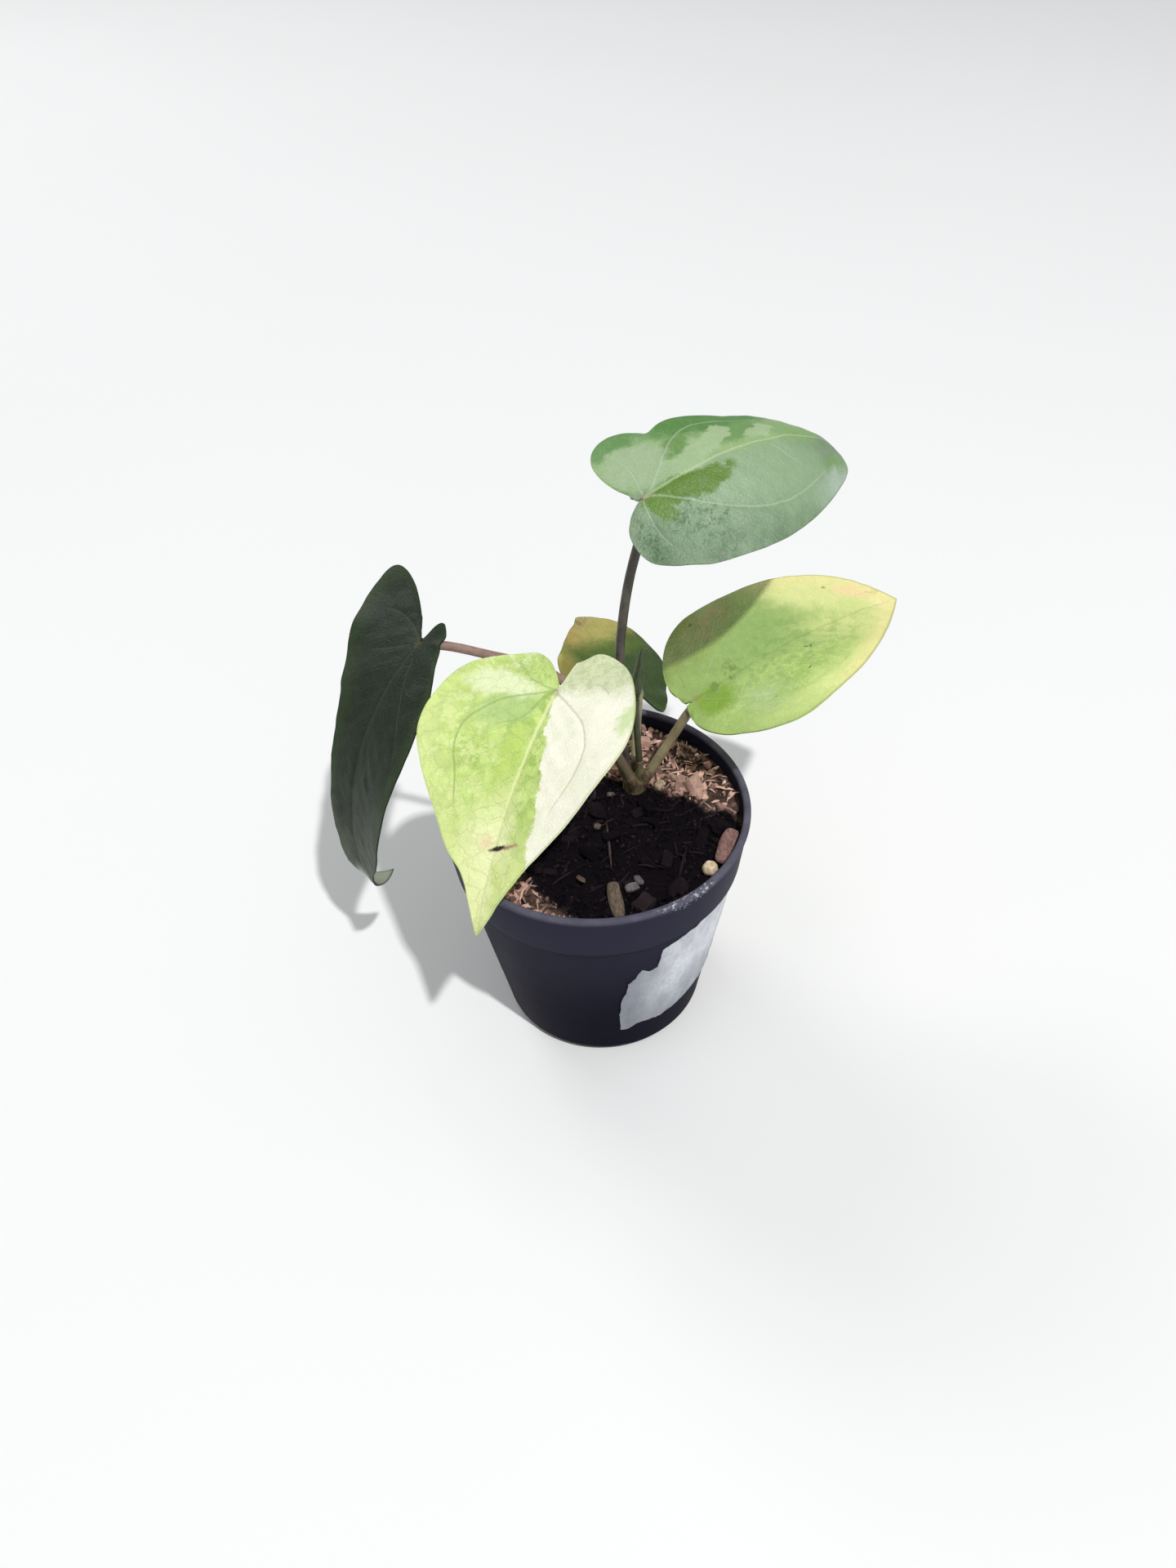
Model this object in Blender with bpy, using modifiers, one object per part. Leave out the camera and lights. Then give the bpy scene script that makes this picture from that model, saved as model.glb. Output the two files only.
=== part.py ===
"""A young variegated anthurium growing in a small round nursery pot.

The origin is the centre of the pot's underside, on the surface it stands on. +Z is up and
-Y is the side with the heart-shaped leaf in front. Sizes are in metres. A leaf is laid out
in its own frame: x runs from the stalk's joint to the tip, y to the left half, z out of the
upper face. The frame is then turned and set at the joint.
"""
import math
import random
from collections import namedtuple

import bmesh
import bpy
from mathutils import Euler, Matrix, Vector, noise

MM = 0.001
GAP = 0.3 * MM
SEGMENTS = 48

# Pot: a round nursery pot, ninety millimetres across the lip
POT_HEIGHT = 79.0 * MM
LIP_RADIUS = 45.0 * MM
LIP_BEAD = 1.1 * MM
BAND_HEIGHT = 17.0 * MM
BAND_TOP_RADIUS = 44.4 * MM
BAND_FOOT_RADIUS = 42.9 * MM
WALL_TOP_RADIUS = 41.5 * MM
WALL_FOOT_RADIUS = 32.0 * MM
CORNER = 3.4 * MM
WALL = 1.3 * MM
FLOOR = 1.4 * MM
DRAIN_COUNT = 8
DRAIN_RADIUS = 3.0 * MM
DRAIN_CIRCLE = 20.5 * MM
CHANNEL_WIDTH = 2.6 * MM
CHANNEL_DEPTH = 0.7 * MM

# Label: a blank sticker with a torn corner, as (degrees round the pot, height in mm)
LABEL_THICK = 0.35 * MM
LABEL_STRIP = 3.0 * MM
LABEL_OUTLINE = (
    (8, 60.4), (-20, 60.4), (-45, 60.0), (-53, 58.6), (-62, 57.4), (-66, 56.0),
    (-66.5, 52.0), (-67.6, 47.2), (-71, 46.6), (-74.4, 48.6), (-77.4, 44.6), (-80.4, 42.0),
    (-81, 37.2), (-83.3, 32.0), (-84, 24.6), (-83.4, 14.8), (-80, 13.6), (-75, 15.6),
    (-69.5, 16.4), (-62, 15.5), (-55, 16.2), (-48, 17.4), (-40, 18.8), (-28, 19.6), (8, 20.0),
)

# Soil: coarse bark and fibre, heaped a little round the crown
SOIL_HEIGHT = 74.6 * MM
SOIL_EDGE_DROP = 1.6 * MM
SOIL_BUMP = 1.3 * MM
SOIL_RINGS = 7
CHIP_COUNT = 52
CHIP_UNEVEN = 0.12
FIBRE_COUNT = 8
SEED = 11

# Crown: the short stem that every stalk grows from
CROWN = Vector((12.0, 10.4, 0.0)) * MM
CROWN_FOOT = 60.0 * MM
CROWN_TOP = 78.6 * MM
CROWN_RADIUS = 4.0 * MM
STALK_LEAD = 3.6 * MM
STALK_SMOOTHING = 4
FOOT_SWELL = 0.12
END_SWELL = 0.18
STUB_ROOT = 74.0 * MM
STUB_STRAIGHT = 1.5 * MM
STUB_SWELL = 1.2

# Leaves
BLADE_THICK = 0.8 * MM
RIB_DEPTH = 0.35 * MM
RIB_HALF_ANGLE = 1.6
RIB_GROWTH = 20.0 * MM
OUTLINE_ANGLES = (0, 6, 14, 26, 42, 62, 84, 104, 122, 140, 162)
RINGS = (0.1, 0.24, 0.42, 0.62, 0.82, 1.0)

Leaf = namedtuple("Leaf", (
    "name",      # what the leaf is called
    "joint",     # where the stalk meets the blade, mm
    "yaw",       # heading of the tip seen from above, degrees from +X
    "rise",      # how far the blade points up at the joint, degrees
    "roll",      # how far the left half is lifted, degrees
    "bend",      # downward turn along the midrib, degrees per mm, at the joint
    "droop",     # growth of that turn, degrees per mm squared
    "back",      # the same turn behind the joint, degrees per mm
    "fold",      # slope of the left and right half at the joint, and of both near the tip
    "cup",       # how much the halves curve upwards, per mm
    "twist",     # how much the right half lifts towards the tip, per mm
    "curl",      # sharp turn of the last millimetres at the tip, degrees per mm
    "wave",      # height of the margin's waves, mm
    "left",      # reach of the left half at the outline angles, mm
    "right",     # reach of the right half at the outline angles, mm
    "colour",    # plain colour of the blade
))

Stalk = namedtuple("Stalk", (
    "name",      # what the stalk is called
    "route",     # points along its middle from the crown upwards, mm
    "radius",    # half its thickness, mm
    "meets",     # how it meets its blade: "under" the joint, "along" the underside, at the "notch"
    "colour",    # plain colour of the stalk
))

TIP_CURL_LENGTH = 12.0

LEAVES = (
    Leaf("blade_top", (15.8, 17.3, 167.8), 20.4, 24.9, 18.0, 0.713, 0.0103, 0.22,
         (-0.17, -0.348, -0.4), -0.0007, 0.0, 0.0, 0.5,
         (77.4, 66, 54.8, 41.8, 31.7, 24.8, 25.3, 20.5, 7.5, 4.2, 4),
         (77.4, 70, 60.2, 48.6, 37.3, 27.1, 21, 17.8, 15.3, 11, 5),
         (0.25, 0.36, 0.22)),
    Leaf("blade_right", (30.9, 20.6, 99.0), 22.6, 24.0, -1.4, 0.301, 0.0029, 0.0,
         (0.144, 0.144, 0.144), -0.0004, 0.0008, 0.0, 0.6,
         (69.8, 66.2, 60.8, 49.9, 39.3, 31.6, 22, 14, 8, 5, 4),
         (69.8, 64, 57.8, 50, 41.2, 35, 22.2, 14.6, 9, 5.6, 4),
         (0.46, 0.60, 0.16)),
    Leaf("blade_front", (-9.0, 4.3, 118.1), -118.0, -14.4, 11.5, 0.470, 0.0009, -0.13,
         (0.222, 0.222, 0.222), 0.0005, -0.0001, 0.0, 0.7,
         (70.2, 59.8, 51.5, 44.5, 39.2, 35.3, 27.6, 22.7, 19.3, 16.3, 12.4),
         (70.2, 57.4, 52, 45.1, 40.3, 37, 29.6, 21.9, 17.8, 13, 4),
         (0.62, 0.72, 0.30)),
    Leaf("blade_left", (-48.4, 32.1, 116.3), -139.0, -26.4, 9.5, 0.826, 0.0009, -0.06,
         (-0.28, 0.114, 0.114), 0.0, 0.0, 8.0, 0.6,
         (91, 75.4, 66, 48, 28, 15, 9, 8.6, 7.6, 6.4, 6),
         (91, 79.5, 49.5, 32.8, 28.7, 27.2, 28.4, 33, 31.5, 6, 5.6),
         (0.06, 0.12, 0.06)),
    Leaf("blade_back", (13.0, 54.0, 80.0), 119.0, 14.0, 22.0, 0.1, 0.008, 0.0,
         (0.0, -0.05, 0.0), 0.0, 0.0, 0.0, 0.5,
         (32.6, 29.4, 27.4, 25.3, 24, 24.8, 23.6, 19.6, 15, 10, 6),
         (32.6, 33.4, 33.8, 32.6, 29.2, 25, 18, 14.8, 13, 10, 6),
         (0.30, 0.38, 0.10)),
)

STALKS = (
    Stalk("petiole_top",
          ((9.6, 10.4, 83.0), (8.4, 11.4, 100.0), (8.5, 13.2, 122.0), (11.2, 15.0, 143.0),
           (14.2, 16.9, 154.0)),
          1.3, "under", (0.10, 0.06, 0.06)),
    Stalk("petiole_right",
          ((16.4, 9.8, 81.0), (20.6, 13.2, 85.6), (24.8, 16.4, 90.6)),
          1.4, "along", (0.27, 0.26, 0.12)),
    Stalk("petiole_front",
          ((10.4, 6.4, 82.4), (6.4, 5.4, 94.0), (-1.0, 5.6, 107.0)),
          1.3, "under", (0.34, 0.22, 0.16)),
    Stalk("petiole_left",
          ((8.0, 14.0, 83.0), (1.0, 18.4, 100.0), (-12.0, 21.6, 112.4), (-26.6, 25.0, 115.2),
           (-37.0, 29.6, 115.6)),
          1.35, "along", (0.34, 0.20, 0.13)),
    Stalk("petiole_back",
          ((12.8, 14.8, 81.4), (13.6, 24.0, 85.0), (15.0, 36.0, 86.2), (15.8, 43.0, 84.6),
           (16.3, 47.4, 79.2)),
          1.3, "notch", (0.22, 0.24, 0.10)),
)

# New leaf: still rolled into a spike on its own young stalk
SPIKE_STALK = Stalk("petiole_new", ((13.6, 10.7, 84.6), (13.0, 11.9, 96.0), (12.9, 12.9, 106.4)),
                    0.95, None, (0.16, 0.19, 0.08))
SPIKE_ROUTE = ((12.9, 12.95, 106.75), (13.3, 13.2, 111.0), (14.1, 13.5, 116.0), (14.9, 13.9, 123.6))
SPIKE_RADII = (0.95, 1.35, 1.2, 0.35)
SPIKE_SIDES = 12


def clear_scene():
    for item in list(bpy.data.objects):
        bpy.data.objects.remove(item, do_unlink=True)


def new_collection(name):
    collection = bpy.data.collections.new(name)
    bpy.context.scene.collection.children.link(collection)
    return collection


def material(name, colour, roughness, metallic=0.0):
    paint = bpy.data.materials.new(name)
    paint.use_nodes = True
    shader = paint.node_tree.nodes["Principled BSDF"]
    shader.inputs["Base Color"].default_value = (*colour, 1.0)
    shader.inputs["Roughness"].default_value = roughness
    shader.inputs["Metallic"].default_value = metallic
    paint.diffuse_color = (*colour, 1.0)
    return paint


def object_from_bmesh(name, shape, collection, paint=None, smooth=True):
    mesh = bpy.data.meshes.new(name)
    shape.to_mesh(mesh)
    shape.free()
    if smooth:
        mesh.shade_smooth()
        mesh.set_sharp_from_angle(angle=math.radians(40))
    item = bpy.data.objects.new(name, mesh)
    collection.objects.link(item)
    if paint:
        mesh.materials.append(paint)
    return item


def as_cutter(item):
    item.hide_render = True
    item.display_type = "WIRE"


def turned(name, profile, collection, paint):
    """A solid turned about Z from a profile of (radius, height) that ends on the axis."""
    mesh = bpy.data.meshes.new(name)
    points = [(radius, 0.0, height) for radius, height in profile]
    edges = [(i, i + 1) for i in range(len(points) - 1)]
    mesh.from_pydata(points, edges, [])
    item = bpy.data.objects.new(name, mesh)
    collection.objects.link(item)
    mesh.materials.append(paint)
    screw = item.modifiers.new("turn", "SCREW")
    screw.axis = "Z"
    screw.angle = math.tau
    screw.steps = SEGMENTS
    screw.render_steps = SEGMENTS
    screw.use_merge_vertices = True
    screw.merge_threshold = 0.00001
    screw.use_smooth_shade = True
    return item


def apply_modifiers(item):
    """Replace an object's mesh with what its modifiers make of it."""
    graph = bpy.context.evaluated_depsgraph_get()
    finished = bpy.data.meshes.new_from_object(item.evaluated_get(graph))
    item.modifiers.clear()
    item.data = finished


def boolean(item, operation, other):
    change = item.modifiers.new(operation.lower(), "BOOLEAN")
    change.operation = operation
    change.solver = "EXACT"
    if isinstance(other, bpy.types.Collection):
        change.operand_type = "COLLECTION"
        change.collection = other
    else:
        change.object = other


def smooth_route(points, count):
    """Evenly numbered points on a smooth curve through the given ones."""
    ends = [points[0] * 2 - points[1], *points, points[-1] * 2 - points[-2]]
    spans = len(points) - 1
    route = []
    for i in range(count):
        place = spans * i / (count - 1)
        span = min(int(place), spans - 1)
        t = place - span
        a, b, c, d = ends[span:span + 4]
        route.append(0.5 * (2 * b + (c - a) * t + (2 * a - 5 * b + 4 * c - d) * t ** 2
                            + (3 * b - a - 3 * c + d) * t ** 3))
    return route


def tube(name, route, radii, collection, paint):
    """A round stalk along a route, with a radius at each of its points."""
    curve = bpy.data.curves.new(name, "CURVE")
    curve.dimensions = "3D"
    curve.bevel_depth = 1.0
    curve.bevel_resolution = 2
    curve.use_fill_caps = True
    spline = curve.splines.new("POLY")
    spline.points.add(len(route) - 1)
    for point, place, radius in zip(spline.points, route, radii):
        point.co = (*place, 1.0)
        point.radius = radius
    item = bpy.data.objects.new(name, curve)
    collection.objects.link(item)
    curve.materials.append(paint)
    return item


def as_mesh(curve_item, collection):
    """The same shape as one welded mesh object."""
    graph = bpy.context.evaluated_depsgraph_get()
    mesh = bpy.data.meshes.new_from_object(curve_item.evaluated_get(graph))
    shape = bmesh.new()
    shape.from_mesh(mesh)
    bmesh.ops.remove_doubles(shape, verts=shape.verts, dist=0.000001)
    shape.to_mesh(mesh)
    shape.free()
    item = bpy.data.objects.new(curve_item.name, mesh)
    item.matrix_world = curve_item.matrix_world
    collection.objects.link(item)
    bpy.data.objects.remove(curve_item)
    return item


# Pot

def wall_radius(height):
    """Outer radius of the plain wall below the band."""
    share = (height - CORNER) / (POT_HEIGHT - BAND_HEIGHT - CORNER)
    return WALL_FOOT_RADIUS + (WALL_TOP_RADIUS - WALL_FOOT_RADIUS) * share


def pot_inside():
    """The inner profile from the floor's centre up to the lip."""
    shelf = POT_HEIGHT - BAND_HEIGHT
    return [
        (0.0, FLOOR),
        (WALL_FOOT_RADIUS - CORNER - WALL / 2, FLOOR),
        (wall_radius(CORNER) - WALL, CORNER + FLOOR / 2),
        (wall_radius(shelf) - WALL, shelf - WALL),
        (BAND_FOOT_RADIUS - WALL, shelf + WALL / 2),
        (BAND_TOP_RADIUS - WALL + 0.2 * MM, POT_HEIGHT - 2 * LIP_BEAD),
    ]


def pot_outside():
    """The outer profile from the lip down to the underside's centre."""
    shelf = POT_HEIGHT - BAND_HEIGHT
    lip_middle = (LIP_RADIUS - LIP_BEAD, POT_HEIGHT - LIP_BEAD)
    lip = [(lip_middle[0] - LIP_BEAD * math.cos(math.radians(turn)),
            lip_middle[1] + LIP_BEAD * math.sin(math.radians(turn)))
           for turn in range(10, 221, 35)]
    corner = [(WALL_FOOT_RADIUS - CORNER * (1 - math.cos(math.radians(turn))),
               CORNER * (1 - math.sin(math.radians(turn))))
              for turn in (0, 30, 60, 90)]
    return [
        *lip,
        (BAND_TOP_RADIUS, POT_HEIGHT - 2.4 * LIP_BEAD),
        (BAND_FOOT_RADIUS, shelf + 0.7 * MM),
        (BAND_FOOT_RADIUS - 0.4 * MM, shelf),
        (WALL_TOP_RADIUS + 0.2 * MM, shelf - 0.3 * MM),
        (WALL_TOP_RADIUS, shelf - 0.9 * MM),
        *corner,
        (0.0, 0.0),
    ]


def drain_cutters(cutters):
    """Round holes through the floor, each with a shallow channel to the pot's edge."""
    shape = bmesh.new()
    for number in range(DRAIN_COUNT):
        turn = Matrix.Rotation(math.tau * number / DRAIN_COUNT, 4, "Z")
        bmesh.ops.create_cone(shape, cap_ends=True, segments=14, radius1=DRAIN_RADIUS,
                              radius2=DRAIN_RADIUS, depth=4 * FLOOR,
                              matrix=turn @ Matrix.Translation((DRAIN_CIRCLE, 0, 0)))
    holes = object_from_bmesh("drain_holes", shape, cutters, smooth=False)
    as_cutter(holes)
    shape = bmesh.new()
    length = LIP_RADIUS - DRAIN_CIRCLE
    for number in range(DRAIN_COUNT):
        turn = Matrix.Rotation(math.tau * number / DRAIN_COUNT, 4, "Z")
        place = Matrix.Translation((DRAIN_CIRCLE + length / 2, 0, 0))
        size = Matrix.Diagonal((length, CHANNEL_WIDTH, 2 * CHANNEL_DEPTH, 1))
        bmesh.ops.create_cube(shape, size=1.0, matrix=turn @ place @ size)
    channels = object_from_bmesh("drain_channels", shape, cutters, smooth=False)
    as_cutter(channels)
    return holes, channels


def make_pot(collection, cutters):
    paint = material("pot_plastic", (0.020, 0.021, 0.030), 0.55)
    pot = turned("pot", pot_inside() + pot_outside(), collection, paint)
    for cutter in drain_cutters(cutters):
        boolean(pot, "DIFFERENCE", cutter)
    return pot


def make_label(collection):
    """The sticker's flat outline, sliced into strips and wrapped on the wall."""
    paint = material("label_paper", (0.62, 0.64, 0.68), 0.6)
    middle = wall_radius(POT_HEIGHT / 2)
    shape = bmesh.new()
    corners = [shape.verts.new((math.radians(angle) * middle, height * MM, 0))
               for angle, height in LABEL_OUTLINE]
    shape.faces.new(corners)
    left = min(corner.co.x for corner in corners)
    right = max(corner.co.x for corner in corners)
    slices = int((right - left) / LABEL_STRIP)
    for number in range(1, slices):
        place = left + (right - left) * number / slices
        parts = [*shape.verts, *shape.edges, *shape.faces]
        bmesh.ops.bisect_plane(shape, geom=parts, plane_co=(place, 0, 0), plane_no=(1, 0, 0))
    bmesh.ops.triangulate(shape, faces=shape.faces)
    for vert in shape.verts:
        angle, height = vert.co.x / middle, vert.co.y
        radius = wall_radius(height) + GAP
        vert.co = (radius * math.cos(angle), radius * math.sin(angle), height)
    label = object_from_bmesh("label", shape, collection, paint, smooth=False)
    skin = label.modifiers.new("thickness", "SOLIDIFY")
    skin.thickness = LABEL_THICK
    skin.offset = 1.0
    return label


# Soil

def soil_height(x, y):
    """Height of the ground at a place, bumpy and a little lower towards the wall."""
    distance = math.hypot(x, y)
    edge = BAND_TOP_RADIUS - WALL
    near_crown = math.exp(-((x - CROWN.x) ** 2 + (y - CROWN.y) ** 2) / (7 * MM) ** 2)
    bump = 0.6 * noise.noise(Vector((x, y, 0)) / (9 * MM)) + 0.4 * noise.noise(
        Vector((x, y, 3 * MM)) / (4 * MM))
    return (SOIL_HEIGHT - SOIL_EDGE_DROP * (distance / edge) ** 4
            + SOIL_BUMP * bump * (1 - near_crown))


def soil_body():
    """The potful of soil, GAP clear of the pot's inside, with a bumpy top."""
    shelf = POT_HEIGHT - BAND_HEIGHT
    rim = BAND_TOP_RADIUS - WALL - 2 * GAP
    sides = [
        (rim, None),
        (BAND_FOOT_RADIUS - WALL - 2 * GAP, shelf + WALL),
        (wall_radius(shelf) - WALL - 2 * GAP, shelf - WALL),
        (wall_radius(CORNER) - WALL - 2 * GAP, CORNER + FLOOR),
        (WALL_FOOT_RADIUS - CORNER - WALL, FLOOR + 1.5 * GAP),
    ]
    rings = [(rim * (ring / SOIL_RINGS) ** 0.8, None) for ring in range(1, SOIL_RINGS)] + sides
    shape = bmesh.new()
    loops = []
    for radius, height in rings:
        loop = []
        for step in range(SEGMENTS):
            angle = math.tau * step / SEGMENTS
            x, y = radius * math.cos(angle), radius * math.sin(angle)
            z = soil_height(x, y) if height is None else height
            loop.append(shape.verts.new((x, y, z)))
        loops.append(loop)
    centre = shape.verts.new((0, 0, soil_height(0, 0)))
    for step in range(SEGMENTS):
        following = (step + 1) % SEGMENTS
        shape.faces.new((centre, loops[0][step], loops[0][following]))
        for upper, lower in zip(loops, loops[1:]):
            shape.faces.new((upper[step], lower[step], lower[following], upper[following]))
    shape.faces.new(reversed(loops[-1]))
    bmesh.ops.triangulate(shape, faces=shape.faces)
    return shape


def chip_places(draw, count, clear):
    """Seeded places on the soil, spread out and clear of the crown and the wall."""
    edge = BAND_FOOT_RADIUS - WALL - clear
    places = []
    while len(places) < count:
        radius = edge * math.sqrt(draw.random())
        angle = draw.uniform(0, math.tau)
        place = Vector((radius * math.cos(angle), radius * math.sin(angle), 0))
        near_crown = (place - CROWN).length < CROWN_RADIUS + clear
        crowded = any((place - other).length < 2.6 * MM for other in places)
        if not near_crown and not crowded:
            places.append(place)
    return places


def scatter_chips(repeats):
    """Bark chips as uneven blocks and fibres as thin sticks, sunk into the soil's top."""
    draw = random.Random(SEED)
    for number, place in enumerate(chip_places(draw, CHIP_COUNT, 4.2 * MM)):
        length = draw.uniform(3.0, 7.0) * MM
        size = Vector((length, length * draw.uniform(0.4, 0.7), length * draw.uniform(0.4, 0.55)))
        turn = Euler((draw.gauss(0, 0.35), draw.gauss(0, 0.35), draw.uniform(0, math.tau)))
        place.z = soil_height(place.x, place.y) + draw.uniform(-0.1, 0.14) * length
        add_block(f"chip_{number:02d}", place, size, turn, repeats)
    for number, place in enumerate(chip_places(draw, FIBRE_COUNT, 8.0 * MM)):
        size = Vector((draw.uniform(9, 14), 0.9, 0.9)) * MM
        turn = Euler((0.4, draw.uniform(-0.2, 0.2), draw.uniform(0, math.tau)))
        place.z = soil_height(place.x, place.y) + 0.4 * MM
        add_block(f"fibre_{number:02d}", place, size, turn, repeats)


def uneven(place):
    """A vector of three smooth noises that shifts a corner out of true."""
    shifts = (Vector((0, 0, 0)), Vector((9.2, 3.1, 7.7)), Vector((2.5, 8.4, 5.3)))
    return Vector([noise.noise(place + shift) for shift in shifts])


def add_block(name, place, size, turn, collection):
    """A six-sided block with uneven corners."""
    shape = bmesh.new()
    matrix = Matrix.Translation(place) @ turn.to_matrix().to_4x4() @ Matrix.Diagonal((*size, 1))
    bmesh.ops.create_cube(shape, size=1.0, matrix=matrix)
    for vert in shape.verts:
        vert.co += CHIP_UNEVEN * min(size) * uneven(vert.co / (2 * MM))
    object_from_bmesh(name, shape, collection, smooth=False)


def make_soil(collection, cutters):
    paint = material("soil_bark", (0.060, 0.036, 0.026), 0.95)
    soil = object_from_bmesh("soil", soil_body(), collection, paint, smooth=False)
    repeats = new_collection("soil repeats")
    scatter_chips(repeats)
    boolean(soil, "UNION", repeats)
    apply_modifiers(soil)
    for item in list(repeats.objects):
        bpy.data.objects.remove(item, do_unlink=True)
    bpy.data.collections.remove(repeats)
    depth = POT_HEIGHT + 10 * MM - (CROWN_FOOT - GAP)
    shape = bmesh.new()
    place = Matrix.Translation(CROWN + Vector((0, 0, CROWN_FOOT - GAP + depth / 2)))
    bmesh.ops.create_cone(shape, cap_ends=True, segments=20, radius1=CROWN_RADIUS + 1.5 * GAP,
                          radius2=CROWN_RADIUS + 1.5 * GAP, depth=depth, matrix=place)
    hole = object_from_bmesh("crown_hole", shape, cutters, smooth=False)
    as_cutter(hole)
    boolean(soil, "DIFFERENCE", hole)
    return soil


# Leaves

def reach_at(reaches, angle):
    """Reach of the outline at an angle, smooth between the given ones, even at tip and notch."""
    angles = (*OUTLINE_ANGLES, 180)
    values = (*reaches, reaches[-1] * 0.8)
    span = max(i for i in range(len(angles) - 1) if angles[i] <= angle)

    def slope(i):
        low, high = max(i - 1, 0), min(i + 1, len(angles) - 1)
        return (values[high] - values[low]) / (angles[high] - angles[low])

    width = angles[span + 1] - angles[span]
    t = (angle - angles[span]) / width
    return ((1 + 2 * t) * (1 - t) ** 2 * values[span] + t * (1 - t) ** 2 * width * slope(span)
            + t * t * (3 - 2 * t) * values[span + 1] - t * t * (1 - t) * width * slope(span + 1))


def station_angles():
    """Angles of the rays round one half, closer together at the tip and the midrib."""
    fine = [0, RIB_HALF_ANGLE, 4, 7, 11, 16]
    coarse = list(range(24, 180, 10))
    return fine + coarse


def midrib_point(leaf, distance, steps=16):
    """Place (x, z) on the bent midrib and its slope there, at a distance from the joint."""
    step = distance / steps
    tip_start = leaf.left[0] - TIP_CURL_LENGTH

    def slope(s):
        if s < 0:
            return leaf.back * s
        return leaf.bend * s + leaf.droop * s * s / 2 + leaf.curl * max(0.0, s - tip_start)

    turns = [math.radians(slope((i + 0.5) * step)) for i in range(steps)]
    x = step * sum(math.cos(turn) for turn in turns)
    z = -step * sum(math.sin(turn) for turn in turns)
    return x, z, math.radians(slope(distance))


def leaf_frame(leaf):
    """Matrix that turns the leaf's own frame and sets it at its joint, in mm."""
    turn = (Matrix.Rotation(math.radians(leaf.yaw), 4, "Z")
            @ Matrix.Rotation(-math.radians(leaf.rise), 4, "Y")
            @ Matrix.Rotation(math.radians(leaf.roll), 4, "X"))
    return Matrix.Translation(leaf.joint) @ turn


def blade_point(leaf, angle, share):
    """A point of the upper face, at a signed angle from the tip and a share of the reach."""
    reach = reach_at(leaf.left if angle >= 0 else leaf.right, abs(angle))
    turn = math.radians(angle)
    x = reach * share * math.cos(turn)
    y = reach * share * math.sin(turn)
    mid_x, mid_z, slope = midrib_point(leaf, x)
    ripple = math.sin(math.radians(7.5 * angle) + leaf.yaw)
    joint_fold = leaf.fold[0] if angle > 0 else leaf.fold[1]
    along = min(1.0, max(0.0, 2 * x / leaf.left[0]))
    fold = joint_fold + (leaf.fold[2] - joint_fold) * along
    lift = (fold * (math.hypot(y, 2) - 2) + leaf.cup * y * y + leaf.twist * x * y
            + leaf.wave * share ** 4 * ripple * min(1.0, abs(angle) / 15))
    if angle == 0:
        lift -= RIB_DEPTH / MM * min(1.0, reach * share * MM / RIB_GROWTH)
    point = Vector((mid_x + lift * math.sin(slope), y, mid_z + lift * math.cos(slope)))
    return (leaf_frame(leaf) @ point) * MM


def make_blade(leaf, collection):
    """A heart-shaped blade: rays from the joint, split into triangles, then thickened."""
    half = station_angles()
    angles = [-angle for angle in reversed(half)] + half[1:]
    shape = bmesh.new()
    joint = shape.verts.new(blade_point(leaf, 0, 0))
    rays = [[shape.verts.new(blade_point(leaf, angle, share)) for share in RINGS]
            for angle in angles]
    for here, there in zip(rays, rays[1:]):
        shape.faces.new((joint, here[0], there[0]))
        for i in range(len(RINGS) - 1):
            shape.faces.new((here[i], here[i + 1], there[i + 1], there[i]))
    shape.faces.new((joint, rays[-1][0], rays[0][0]))
    bmesh.ops.triangulate(shape, faces=shape.faces, quad_method="SHORT_EDGE")
    blade = object_from_bmesh(leaf.name, shape, collection,
                              material(leaf.name + "_green", leaf.colour, 0.5))
    skin = blade.modifiers.new("thickness", "SOLIDIFY")
    skin.thickness = BLADE_THICK
    skin.offset = -1.0
    return blade


# Stalks and crown

def stalk_route(stalk):
    """Route of a stalk's middle, run on to where it meets its blade."""
    points = [Vector(point) * MM for point in stalk.route]
    if stalk.meets:
        kind = stalk.name.split("_")[1]
        leaf = next(leaf for leaf in LEAVES if leaf.name == "blade_" + kind)
        turn = leaf_frame(leaf).to_3x3()
        joint = Vector(leaf.joint) * MM
        up = turn @ Vector((0, 0, 1))
        below = BLADE_THICK + RIB_DEPTH + 1.6 * GAP
        if stalk.meets == "under":
            end = joint - up * below
            points += [end - up * STALK_LEAD, end]
        elif stalk.meets == "along":
            end = joint - up * (below + stalk.radius * MM * (1 + END_SWELL))
            heading = end - points[-1]
            heading = (heading - up * heading.dot(up)).normalized()
            points += [end - heading * STALK_LEAD, end + heading * STALK_LEAD / 3]
        else:
            notch = blade_point(leaf, 180, 1.0)
            points.append(notch + (notch - joint).normalized() * 5 * GAP)
    route = smooth_route(points, 4 * len(points) - 3)
    for _ in range(STALK_SMOOTHING):
        middles = [(a + 2 * b + c) / 4 for a, b, c in zip(route, route[1:], route[2:])]
        route = [route[0], *middles, route[-1]]
    return route


def make_stalk(stalk, collection):
    """A stalk that is a little thicker at its foot and swollen where it meets the leaf."""
    route = stalk_route(stalk)
    count = len(route)
    radii = []
    for number in range(count):
        place = number / (count - 1)
        swell = FOOT_SWELL * (1 - place) ** 3 + END_SWELL * math.exp(-((place - 0.97) / 0.05) ** 2)
        radii.append(stalk.radius * MM * (1 + swell))
    paint = material(stalk.name + "_skin", stalk.colour, 0.5)
    return tube(stalk.name, route, radii, collection, paint)


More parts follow.
